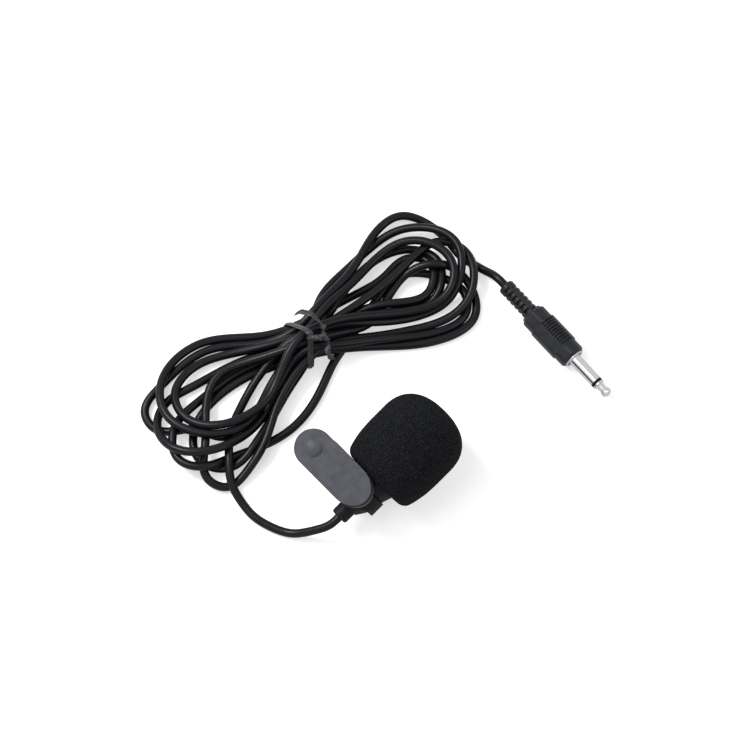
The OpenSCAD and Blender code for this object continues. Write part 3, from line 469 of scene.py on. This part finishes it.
def foam_outline():
    """From the bottom of the bore to its mouth, round the edge, out along a rising curve of
    FLANK_POWER to the widest ring, and over a dome that is a superellipse of DOME_POWER."""
    crown = foam_start + CROWN_AT * (foam_end - foam_start)
    dome = foam_start + DOME_AT * (foam_end - foam_start)

    def flank(x):
        rise = np.clip((x - foam_start) / (crown - foam_start), 0, 1)
        return foam_wide - (foam_wide - FOAM_BASE) * (1 - rise) ** FLANK_POWER

    bottom = np.stack([np.full(8, bore_end), np.linspace(ON_AXIS, bore, 8)], axis=1)
    wall = np.stack([np.linspace(bore_end, foam_start, 60), np.full(60, bore)], axis=1)
    mouth = np.stack([np.full(12, foam_start), np.linspace(bore, FOAM_BASE - EDGE_DROP, 12)], axis=1)
    turn = np.linspace(0, math.pi / 2, 24)
    edge_x = foam_start + EDGE_RUN * (1 - np.cos(turn))
    edge = np.stack([edge_x, flank(edge_x) - EDGE_DROP * (1 - np.sin(turn))], axis=1)
    side_x = np.linspace(foam_start + EDGE_RUN, dome, 80)
    side = np.stack([side_x, flank(side_x)], axis=1)
    s = np.sin(np.linspace(0, math.pi / 2, 160))
    fall = (1 - s**DOME_POWER) ** (1 / DOME_POWER)
    over = np.stack([dome + (foam_end - dome) * s, foam_wide * fall], axis=1)
    over[-1, 1] = ON_AXIS
    return np.vstack([bottom, wall[1:], mouth[1:], edge[1:], side[1:], over[1:]])


# %% Cells of the foam
PRIMES = (73856093, 19349663, 83492791)
FREQUENCIES, SCATTER = (0.137, 0.311, 0.733), 43758.5453
# Each layer of cells: their size, a seed, how deep they go in millimetres for each unit of
# the pattern, and where the pattern stops growing.
CELL_LAYERS = [(1.3 * MM, 11, 0.05, 0.6), (0.62 * MM, 5, 0.24, 0.7)]


def cell_pattern(points, size, seed):
    """Worley noise: one random point in each box of a grid of that size, from a hash of the
    box. The result is the difference of the distances to the second nearest and the nearest
    of them, over the size: 0 on the walls between cells and larger in their middles."""
    grid = points / size
    box = np.floor(grid).astype(np.int64)
    best = np.full((2, len(points)), 9.0)
    for step in np.ndindex(3, 3, 3):
        cell = box + np.array(step) - 1
        key = (cell * np.array(PRIMES)).sum(axis=1) + seed
        spot = np.stack([np.sin(key * f) * SCATTER % 1.0 for f in FREQUENCIES], axis=1)
        away = np.linalg.norm(cell + spot - grid, axis=1)
        nearer = away < best[0]
        best[1] = np.where(nearer, best[0], np.minimum(best[1], away))
        best[0] = np.where(nearer, away, best[0])
    return best[1] - best[0]


FOAM_RINGS, FOAM_SIDES = 250, 380
CELLS_FADE_IN, PAST_BORE = 0.8 * MM, 1 * MM
outline = foam_outline()
outline3 = np.column_stack([outline, np.zeros(len(outline))])
outline3 = even_steps(outline3, lengths_along(outline3)[-1] / FOAM_RINGS)
head_side = unit(np.cross(head_axis, (0, 0, 1)))
head_top = np.cross(head_side, head_axis)


def foam_grid():
    """The outline turned round the head's axis, then each point moved along its normal: out
    on the struts and in at the cells, least in the bore, which fits the head."""
    turn = np.arange(FOAM_SIDES) * 2 * math.pi / FOAM_SIDES
    spoke = np.cos(turn)[:, None] * head_side + np.sin(turn)[:, None] * head_top
    along, radius = outline3[:, 0], outline3[:, 1]
    slope = unit(np.gradient(outline3[:, :2], axis=0))
    grid = head_exit + along[:, None, None] * head_axis + radius[:, None, None] * spoke[None]
    normal = -slope[:, 1, None, None] * head_axis + slope[:, 0, None, None] * spoke[None]
    flat = grid.reshape(-1, 3)
    depth = sum(
        deep * np.minimum(cell_pattern(flat, size, seed), most)
        for size, seed, deep, most in CELL_LAYERS
    )
    outside = np.clip((radius - bore) / CELLS_FADE_IN, 0, 1)
    outside[along > bore_end + PAST_BORE] = 1
    depth = depth.reshape(grid.shape[:2]) * outside[:, None]
    return grid - depth[..., None] * MM * normal


foam = skin("foam_windscreen", foam_grid())
print("foam faces:", len(foam.data.polygons))


# %% [markdown]
# ## The twist tie
#
# A twist tie is a thin wire inside a flat ribbon. It goes once round the waist of the hank,
# and its ends are twisted together on top. The ribbon follows the bundle that it holds: for
# each direction round the waist, the run that reaches furthest sets how far out it lies.

# %% The band round the waist
TIE_WIDTH, TIE_THICK, TIE_GAP = 1.7 * MM, 0.38 * MM, 0.3 * MM
KNOT_SIDE, KNOT_AWAY, KNOT_RISE = -1.9 * MM, 2 * MM, 1.4 * MM
KNOT_SPREAD, UPPER_HALF, BAND_REACH = 2 * MM, 6 * MM, 2 * MM
LEAN_ABOVE, LEAN_BELOW = 0.34, 0.5
RIBBON_SIDES, BAND_POINTS, SMOOTHINGS = 28, 128, 4
EDGE_HALF, CORE_HALF, CORE_WIDTH = 0.32, 0.55, 0.16


def ribbon_profile(width, thick):
    """A flat ribbon over a wire: its faces are a thin oval, and in their middle a bump that
    falls off as a bell. EDGE_HALF and CORE_HALF are shares of the thickness, and CORE_WIDTH
    is a share of the width."""
    turn = np.arange(RIBBON_SIDES) * 2 * math.pi / RIBBON_SIDES
    x = np.sign(np.cos(turn)) * np.abs(np.cos(turn)) ** 0.7 * width / 2
    bump = CORE_HALF * np.exp(-((x / (CORE_WIDTH * width)) ** 2))
    y = np.sin(turn) * thick * (EDGE_HALF + bump)
    return np.stack([x, y], axis=1)


def waist_band():
    """Convex hull by its support: for each direction, the furthest run plus the radius; the
    hull's points are where neighbouring tangent lines cross, then smoothed round the loop.
    The band bends at the knot, where the pull of the twist draws it up and along the bundle."""
    away, side = (cable_path - WAIST) @ waist_axis, (cable_path - WAIST) @ waist_side
    held = (np.abs(away) < BAND_REACH) & (side > -WAIST_HALF - WAIST_SLACK)
    flat = np.stack([side[held], cable_path[held, 2]], axis=1)
    turn = np.arange(BAND_POINTS) * 2 * math.pi / BAND_POINTS
    out = np.stack([np.cos(turn), np.sin(turn)], axis=1)
    reach = (flat @ out.T).max(axis=0) + CABLE / 2 + TIE_GAP
    slope = (np.roll(reach, -1) - np.roll(reach, 1)) / (2 * turn[1])
    hull = reach[:, None] * out + slope[:, None] * np.stack([-out[:, 1], out[:, 0]], axis=1)
    for _ in range(SMOOTHINGS):
        hull = (np.roll(hull, 1, axis=0) + 2 * hull + np.roll(hull, -1, axis=0)) / 4
    hull[:, 1] = np.maximum(hull[:, 1], TIE_THICK)
    past = hull[:, 0] - KNOT_SIDE
    peak = KNOT_RISE * np.exp(-((past / KNOT_SPREAD) ** 2))
    hull[:, 1] += np.where(hull[:, 1] > UPPER_HALF, peak, 0)
    draw = KNOT_AWAY - np.where(past > 0, LEAN_ABOVE, -LEAN_BELOW) * past
    level = WAIST + hull[:, :1] * waist_side + draw[:, None] * waist_axis
    return level + hull[:, 1:] * np.array([0, 0, 1])


band_path = waist_band()
band_along = unit(np.roll(band_path, -1, axis=0) - np.roll(band_path, 1, axis=0))
band_out = np.cross(band_along, waist_axis)
band_grid = sweep(band_path, ribbon_profile(TIE_WIDTH, TIE_THICK), band_out, closed=True)
band = skin("tie_band", band_grid, closed_path=True)
band_low, band_high = band_path.min(axis=0), band_path.max(axis=0)
print("band from", (band_low * 1000).round(1), "to", (band_high * 1000).round(1))

# %% The twist and the two free ends
TIE_STEP, TIP_SHARE, STRAND_POINTS = 0.2 * MM, 0.08, 80
TWIST_FROM, TWIST_TO = (7.9, 38.2, 13.1), (10, 35.9, 13.4)
TWIST_RADIUS, TWIST_TURNS = 0.6 * MM, 1.3
LOOPED = [(9.6, 36.4, 13.4), (10.5, 35.9, 13.7), (11.6, 36.3, 13.9), (12.7, 37.8, 13.8),
          (13, 40, 13.7), (12.9, 41.6, 13.7), (12.9, 42.6, 13.7), (12.2, 43.9, 13.6),
          (11, 45.7, 13.4), (9.5, 46.6, 13.1)]
LOOPED_TURN = [(0, 0.6), (0.35, 7.4), (0.55, 6.9), (0.7, 6.4), (1, 6.35)]
LOOSE = [(9.5, 36.5, 13.4), (10.6, 35.3, 13.6), (11, 34, 13.5), (10, 32.8, 13.3),
         (8.9, 31.9, 13.1), (8.5, 30.6, 12.6), (8.3, 29.2, 11.6)]
LOOSE_TURN = [(0, 0.2), (0.25, 0.9), (0.42, 1.7), (0.55, 0.4), (0.75, -0.7), (0.88, 0.5),
              (1, -0.2)]


def free_end(name, knots, turns, cut):
    """The ribbon along a curve. Its angle about the curve is read between the stations of
    turns, which give a share of the length and an angle. Over the last stretch, cut long, one
    edge closes on the other, as snips leave it, to TIP_SHARE of the width."""
    path = even_steps(smooth_curve(np.array(knots) * MM, 24), TIE_STEP)
    share = np.linspace(0, 1, len(path))
    along = unit(np.gradient(path, axis=0))
    level = unit(np.cross(along, (0, 0, 1)))
    rise = np.cross(level, along)
    angle = np.interp(share, *np.transpose(turns))[:, None]
    left = (1 - share) * lengths_along(path)[-1]
    edge = TIE_WIDTH * (np.clip(left / cut, TIP_SHARE, 1) - 0.5)
    profile = np.repeat(ribbon_profile(TIE_WIDTH, TIE_THICK)[None], len(path), axis=0)
    profile[..., 0] = np.minimum(profile[..., 0], edge[:, None])
    return skin(name, sweep(path, profile, rise * np.cos(angle) + level * np.sin(angle)))


def strand(name, start):
    """Half of the twist: a ribbon on a helix round the line from TWIST_FROM to TWIST_TO."""
    share = np.linspace(0, 1, STRAND_POINTS)[:, None]
    first, last = np.array(TWIST_FROM) * MM, np.array(TWIST_TO) * MM
    along = unit(last - first)
    level = unit(np.cross(along, (0, 0, 1)))
    rise = np.cross(level, along)
    angle = start + 2 * math.pi * TWIST_TURNS * share
    spoke = rise * np.cos(angle) + level * np.sin(angle)
    path = first + share * (last - first) + TWIST_RADIUS * spoke
    return skin(name, sweep(path, ribbon_profile(TIE_WIDTH, TIE_THICK), spoke))


tie_tails = [
    free_end("tie_tail_looped", LOOPED, LOOPED_TURN, 2.4 * MM),
    free_end("tie_tail_loose", LOOSE, LOOSE_TURN, 0.8 * MM),
]
tie_knot = [strand("tie_twist_a", 0), strand("tie_twist_b", math.pi)]

# %% [markdown]
# ## The plug's moulding
#
# The moulding has a flat band on two faces, ribs for a finger beside each band, and a strain
# relief with windows that let it bend. A boolean would cut each window from a tube. Here one
# formula gives the radius at every place along the plug and round it, which is the same shape
# with less work.

# %% A radius for each place on the plug
# Stations along the plug and radii are in millimetres; sectors round it are in degrees from
# the middle of a band.
RELIEF_START, RELIEF, SHELL_END = 0.8, 12, 29.5
PLUG_ROLL = math.radians(33)
PLUG_RINGS, PLUG_SIDES = 400, 144
BODY_RADIUS, BODY_FLAT, FLAT_SECTOR, BEVEL = 3.8, 3.55, 40, 0.7
PAD_FROM, PAD_TO, PAD_RISE, PAD_SECTOR = 4.3, 13.6, 0.35, 17
RIBS_FROM, RIBS_TO, RIB_STEP, RIB_SECTOR = 4.5, 13.4, 0.88, (106, 163)
RIB_GROOVE, RIB_DEPTH = (0.4, 0.84), 0.5
THIN_RADIUS, THIN_STEP, RELIEF_RISE = 2.05, 0.2, 0.3
WINDOWS_FROM, WINDOWS_SHORT, WINDOW_START, WINDOW_STEP = 2, 0.4, 2.1, 1.65
WINDOW_WIDE, WINDOW_DEPTH, WINDOW_SECTOR = 0.85, 0.95, 27
NOTCH_SHIFT, NOTCH_WIDE, NOTCH_DEPTH, NOTCH_SECTOR = 0.82, 0.75, 0.55, 52


def step(value, edge, width=0.12):
    """0 below the edge and 1 above it, with an even rise that is width wide."""
    return np.clip((value - edge) / width + 0.5, 0, 1)


def between(value, low, high, width=0.12):
    """1 between two edges and 0 outside them."""
    return step(value, low, width) * (1 - step(value, high, width))


def plug_radius(x, turn):
    """In millimetres and degrees. The body is a tube with bevels, wider where the finger holds
    it, and cut flat at the bands, where radius * cos(angle) may reach BODY_FLAT. The relief is
    a thinner tube with windows at the bands and notches between them."""
    face = np.minimum(turn % 180, 180 - turn % 180)
    bevel = np.clip(np.minimum(x - RELIEF, SHELL_END - x), 0, BEVEL) - BEVEL
    pad = between(x, RELIEF + PAD_FROM, RELIEF + PAD_TO, 0.2)
    body = BODY_RADIUS + bevel + PAD_RISE * pad * step(face, PAD_SECTOR, 3)
    body = np.minimum(body, BODY_FLAT / np.cos(np.radians(np.minimum(face, FLAT_SECTOR))))
    rib = (x - RELIEF - RIBS_FROM) % RIB_STEP
    ribs = between(x, RELIEF + RIBS_FROM, RELIEF + RIBS_TO)
    groove = ribs * between(rib, *RIB_GROOVE, 0.14)
    body -= RIB_DEPTH * groove * between(turn % 180, *RIB_SECTOR, 3)
    relief = THIN_RADIUS + RELIEF_RISE * step(x, RELIEF_START + THIN_STEP, 0.4) + 0 * face
    slot = (x - WINDOW_START) % WINDOW_STEP
    inside = between(x, WINDOWS_FROM, RELIEF - WINDOWS_SHORT)
    window = between(slot, 0, WINDOW_WIDE, 0.14)
    relief -= WINDOW_DEPTH * inside * window * (1 - step(face, WINDOW_SECTOR, 6))
    notch = between((slot + NOTCH_SHIFT) % WINDOW_STEP, 0, NOTCH_WIDE, 0.2)
    relief -= NOTCH_DEPTH * inside * notch * step(face, NOTCH_SECTOR, 8)
    return np.where(x < RELIEF - 0.3, relief, body)


def plug_grid():
    """Rings along the plug's axis; angle 0 is the middle of the upper band."""
    x = np.linspace(RELIEF_START, SHELL_END, PLUG_RINGS)
    turn = np.arange(PLUG_SIDES) * 360 / PLUG_SIDES
    radius = plug_radius(x[:, None], turn[None]) * MM
    upright = np.array([-math.sin(PLUG_ROLL), 0, math.cos(PLUG_ROLL)])
    level = unit(np.cross(plug_axis, upright))
    top = np.cross(level, plug_axis)
    angle = np.radians(turn)[None, :, None]
    spoke = np.cos(angle) * top + np.sin(angle) * level
    return plug_entry + x[:, None, None] * MM * plug_axis + radius[..., None] * spoke


moulding = skin("plug_moulding", plug_grid())
print("plug faces:", len(moulding.data.polygons))

# %% [markdown]
# ## Sums of shader signals
#
# Node trees are built in code. A small class stands for the output of a node, so that
# "1 - grain * 0.3" adds the Math nodes that it needs. Any other node is added by its kind.

# %% A socket that can be added and multiplied
class Signal:
    """An output socket. +, - and * add Math nodes, also with a number on the left."""

    def __init__(self, tree, socket):
        self.tree, self.socket = tree, socket

    def math_node(self, operation, *values):
        """A Math node of that operation on the values."""
        return node(self.tree, "Math", *values, operation=operation)

    def __add__(self, other):
        return self.math_node("ADD", self, other)

    def __sub__(self, other):
        return self.math_node("SUBTRACT", self, other)

    def __mul__(self, other):
        return self.math_node("MULTIPLY", self, other)

    def __rsub__(self, other):
        return self.math_node("SUBTRACT", other, self)

    __radd__ = __add__
    __rmul__ = __mul__


def feed(tree, value, socket):
    """Links a signal to an input, or writes a plain value in it."""
    if isinstance(value, Signal):
        tree.links.new(value.socket, socket)
    else:
        socket.default_value = value


def node(tree, kind, *values, out=0, inputs=None, **settings):
    """A new shader node: settings are its options, values go into its first inputs in order,
    and inputs holds others by name."""
    made = tree.nodes.new("ShaderNode" + kind)
    for name, value in settings.items():
        setattr(made, name, value)
    for value, socket in zip(values, made.inputs):
        feed(tree, value, socket)
    for name, value in (inputs or {}).items():
        feed(tree, value, made.inputs[name])
    return Signal(tree, made.outputs[out])


# %% Patterns that the finishes share
def place(tree):
    """Object coordinates, in metres, so a scale of 1000 makes cells of a millimetre."""
    return node(tree, "TexCoord", out="Object")


def grain(tree, size, where=None, detail=3.0):
    """Noise round 0.5 whose grains are about that many millimetres."""
    where = where or place(tree)
    return node(tree, "TexNoise", where, inputs={"Scale": 1 / (size * MM), "Detail": detail})


def cells(tree, size):
    """Distance to the nearest cell point, in cells of that many millimetres."""
    return node(tree, "TexVoronoi", place(tree), feature="F1", inputs={"Scale": 1 / (size * MM)})


def blend(tree, low, high, amount):
    """A colour between two others; amount is clamped from 0 to 1."""
    colours = {6: (*low, 1), 7: (*high, 1)}
    return node(tree, "Mix", amount, data_type="RGBA", out=2, inputs=colours)


def raised(tree, height, depth):
    """A normal from a height that runs from 0 to 1, over that many millimetres."""
    inputs = {"Height": height, "Distance": depth * MM, "Strength": 1.0}
    return node(tree, "Bump", inputs=inputs)


def finish(name, colour, roughness, normal, **constants):
    """A material with one principled shader. colour, roughness and normal are recipes that take
    the tree and return a signal, or plain values."""
    material = bpy.data.materials.new(name)
    material.use_nodes = True
    tree = material.node_tree
    shader = tree.nodes["Principled BSDF"]
    recipes = {"Base Color": colour, "Roughness": roughness, "Normal": normal}
    for socket, recipe in recipes.items():
        value = recipe(tree) if callable(recipe) else recipe
        feed(tree, value, shader.inputs[socket])
    for socket, value in constants.items():
        shader.inputs[socket.replace("_", " ")].default_value = value
    return material


# %% [markdown]
# ## Finishes
#
# Most of this object is black, so its materials differ in gloss and in grain, and not much in
# colour: dull foam, satin moulded plastic, a softer jacket on the cable, bright plated metal.

# %% Finishes by name
GLOSS_SPREAD, METAL_SPREAD = 0.08, 0.06


def plastic(low, high, rough, size=0.12, depth=0.01, wear=2.5, **constants):
    """Moulded plastic: a fine spark-worn grain, and slow changes of colour and gloss."""
    return dict(
        colour=lambda t: blend(t, low, high, (grain(t, wear) - 0.5) * 2 + 0.5),
        roughness=lambda t: grain(t, wear, detail=6.0) * (2 * GLOSS_SPREAD) + (rough - GLOSS_SPREAD),
        normal=lambda t: raised(t, grain(t, size), depth),
        **constants,
    )


def metal(colour, rough, size=0.3, depth=0.004):
    """Plated or drawn metal: a fine grain in its gloss and relief, and slow changes of colour."""
    return dict(
        colour=lambda t: blend(t, tuple(0.93 * c for c in colour), colour, grain(t, 1.5)),
        roughness=lambda t: grain(t, size, detail=5.0) * (2 * METAL_SPREAD) + (rough - METAL_SPREAD),
        normal=lambda t: raised(t, grain(t, size), depth),
        Metallic=1.0,
    )


# The second colour is a painted highlight, for light caught by the struts; the first is the foam's
# own dark colour.
FOAM_DARK, FOAM_PAINTED_GLINT = (0.005, 0.0053, 0.006), (0.15, 0.155, 0.17)


def foam_colour(tree):
    """Painted highlights: lighter flecks from noise, helped a little by the cell pattern, stand for
    light that the struts catch; the rest keeps the foam's own dark colour.
    """
    wall = 1 - cells(tree, 0.36) * 1.5
    painted_glint_noise = grain(tree, 0.2, detail=4.0)
    return blend(tree, FOAM_DARK, FOAM_PAINTED_GLINT, wall * 0.14 + (painted_glint_noise - 0.57) * 3)


def foam_relief(tree):
    """Small cells and the ragged ends of cut struts."""
    return raised(tree, cells(tree, 0.34) * -0.6 + grain(tree, 0.16, detail=4.0) * 0.8, 0.22)


def jacket_gloss(tree):
    """The jacket is polished by handling in long, slow patches."""
    along = node(tree, "TexCoord", out="UV")
    long = node(tree, "Mapping", along, inputs={"Scale": (0.08, 1, 1)})
    return grain(tree, 1.2, long, detail=5.0) * 0.16 + 0.22


def jacket_relief(tree):
    """Faint lines along the jacket, left by the die, and a fine skin."""
    along = node(tree, "TexCoord", out="UV")
    long = node(tree, "Mapping", along, inputs={"Scale": (0.04, 1, 1)})
    return raised(tree, grain(tree, 0.5, long) * 0.7 + grain(tree, 0.2) * 0.3, 0.012)


BLACK, SOOT = (0.0045, 0.0048, 0.0058), (0.0085, 0.009, 0.0105)
SHEEN = 0.12
FINISHES = {
    "foam": dict(colour=foam_colour, roughness=0.9, normal=foam_relief, Specular_IOR_Level=0.08),
    "cable_jacket": dict(
        colour=lambda t: blend(t, (0.004, 0.0043, 0.0055), (0.008, 0.0085, 0.0105), grain(t, 4)),
        roughness=jacket_gloss, normal=jacket_relief, Specular_IOR_Level=0.16,
    ),
    "housing": plastic(BLACK, SOOT, 0.38, Specular_IOR_Level=SHEEN),
    "ring_black": plastic(BLACK, SOOT, 0.42, Specular_IOR_Level=SHEEN),
    "plug_black": plastic(
        (0.012, 0.0125, 0.015), (0.021, 0.022, 0.026), 0.34, depth=0.008, Specular_IOR_Level=0.2,
    ),
    "clip_grey": plastic(
        (0.060, 0.063, 0.074), (0.094, 0.098, 0.112), 0.50, size=0.10, depth=0.012, wear=2,
        Specular_IOR_Level=0.25,
    ),
    "tie_plastic": plastic(
        (0.022, 0.023, 0.026), (0.046, 0.048, 0.052), 0.42, size=0.3, depth=0.03, wear=1.0,
        Specular_IOR_Level=0.25,
    ),
    "seal_rubber": plastic(BLACK, SOOT, 0.45, size=0.2, Specular_IOR_Level=SHEEN),
    "felt": plastic((0.02, 0.02, 0.021), (0.05, 0.05, 0.052), 0.95, size=0.08, depth=0.08),
    "ivory_plastic": plastic((0.66, 0.62, 0.50), (0.74, 0.70, 0.58), 0.45),
    "board": plastic((0.010, 0.075, 0.030), (0.016, 0.105, 0.040), 0.35, wear=0.8),
    "chip": plastic((0.014, 0.014, 0.014), (0.022, 0.022, 0.022), 0.5),
    "insulator_black": plastic(BLACK, SOOT, 0.3, Specular_IOR_Level=SHEEN),
    "wire_red": plastic((0.42, 0.018, 0.014), (0.52, 0.028, 0.020), 0.4),
    "film": metal((0.80, 0.72, 0.50), 0.25),
    "grille_metal": metal((0.055, 0.055, 0.058), 0.45),
    "can_metal": metal((0.74, 0.74, 0.76), 0.3),
    "contact_brass": metal((0.78, 0.58, 0.26), 0.28),
    "contact_chrome": metal((0.60, 0.60, 0.62), 0.14, size=0.5, depth=0.002),
    "solder": metal((0.66, 0.67, 0.70), 0.34, size=0.4, depth=0.02),
    "wire_copper": metal((0.80, 0.42, 0.24), 0.35, size=0.1, depth=0.02),
    "pin_steel": metal((0.60, 0.60, 0.62), 0.28),
    "spring_steel": metal((0.52, 0.52, 0.54), 0.3),
}
materials = {name: finish(name, **recipe) for name, recipe in FINISHES.items()}
print("finishes:", len(materials))

# %% Dress the solids of the construction model
slots = {part["node"]: part["material_slot"] for part in frame["record"]["subparts"]}


def dress(piece, slot):
    """Puts a finish in every material slot of a piece, or in a new one."""
    if not piece.material_slots:
        piece.data.materials.append(materials[slot])
    for place_in in piece.material_slots:
        place_in.material = materials[slot]


for name, piece in nodes.items():
    dress(piece, slots[name])


# %% Dress the new pieces and let each ride its body
def add_piece(piece, slot, body, *stands_for):
    """A finished piece: its finish, the body that it moves with, and the nodes it replaces."""
    dress(piece, slot)
    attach(piece, body)
    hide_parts(*stands_for)


add_piece(cable, "cable_jacket", "microphone", "cord_mic_run", "cord_hank", "cord_plug_run")
add_piece(foam, "foam", "foam", "windscreen")
add_piece(band, "tie_plastic", "microphone", "twist_tie")
tie_pieces = [band, *tie_tails, *tie_knot]
for piece in tie_pieces[1:]:
    add_piece(piece, "tie_plastic", "microphone", "twist_tie")
add_piece(moulding, "plug_black", "microphone", "plug_shell")

# %% [markdown]
# ## Table, light and surroundings
#
# A dark, glossy cable shows mostly what it reflects. A small soft lamp on the left, beyond
# the object, draws a narrow streak on every run. A larger one stands high on the left, and a
# weak one on the right fills the shadows. The pale world does the rest, as the white walls of
# a light tent do. The world looks white to the camera and in reflections, and the table gets
# a little more white for the camera alone.

# %% Light it
LAMP_AIM = (0.01, 0.02, 0)
TABLE_WHITE = (0.85, 0.85, 0.85)


def soft_lamp(name, aim, heading, height, distance, size, power):
    """A square lamp on a sphere round its aim, turned to face it."""
    h, a = math.radians(height), math.radians(heading)
    away = np.array([math.cos(h) * math.sin(a), math.cos(h) * math.cos(a), math.sin(h)])
    right = unit(np.cross((0, 0, 1), away))
    matrix = np.eye(4)
    matrix[:3, :3] = np.stack([right, np.cross(away, right), away], axis=1)
    matrix[:3, 3] = np.array(aim) + distance * away
    data = bpy.data.lights.new(name, "AREA")
    data.size, data.energy = size, power
    lamp = bpy.data.objects.new(name, data)
    lamp.matrix_world = Matrix(matrix.tolist())
    bpy.context.collection.objects.link(lamp)


LAMPS = {
    "key_lamp": dict(heading=CAMERA_HEADING - 62, height=52, distance=0.55, size=0.18, power=2.3),
    "top_lamp": dict(heading=CAMERA_HEADING - 86, height=70, distance=0.8, size=0.34, power=1.2),
    "fill_lamp": dict(heading=CAMERA_HEADING + 115, height=40, distance=0.6, size=0.3, power=0.6),
}
for name, lamp in LAMPS.items():
    soft_lamp(name, LAMP_AIM, **lamp)


def plain_rays(tree):
    """1 for rays from the camera, a mirror or glass, and 0 for the rays that light things."""
    kinds = ("Is Camera Ray", "Is Glossy Ray", "Is Transmission Ray")
    seen, mirrored, through = (node(tree, "LightPath", out=kind) for kind in kinds)
    direct = node(tree, "Math", seen, mirrored, operation="MAXIMUM")
    return node(tree, "Math", direct, through, operation="MAXIMUM")


def studio_world(level):
    """The world lights the object at the given level, and is white wherever it is seen."""
    world = bpy.data.worlds.new("light_tent")
    world.use_nodes = True
    tree = world.node_tree
    shader = tree.nodes["Background"]
    shader.inputs["Color"].default_value = (1, 1, 1, 1)
    feed(tree, plain_rays(tree) * (1 - level) + level, shader.inputs["Strength"])
    bpy.context.scene.world = world


def white_table(size, lift):
    """A square table top: a matt white surface, with a little more white for the camera."""
    mesh = bpy.data.meshes.new("table_top")
    s = size / 2
    mesh.from_pydata([(-s, -s, 0), (s, -s, 0), (s, s, 0), (-s, s, 0)], [], [(0, 1, 2, 3)])
    table = bpy.data.objects.new("table_top", mesh)
    bpy.context.collection.objects.link(table)
    white = bpy.data.materials.new("white_table")
    white.use_nodes = True
    tree = white.node_tree
    shader = tree.nodes["Principled BSDF"]
    shader.inputs["Base Color"].default_value = (*TABLE_WHITE, 1)
    shader.inputs["Roughness"].default_value = 0.8
    shader.inputs["Emission Color"].default_value = (1, 1, 1, 1)
    feed(tree, node(tree, "LightPath", out=0) * lift, shader.inputs["Emission Strength"])
    mesh.materials.append(white)


studio_world(level=0.3)
white_table(size=4.0, lift=0.55)
bpy.context.scene.view_settings.view_transform = "Standard"
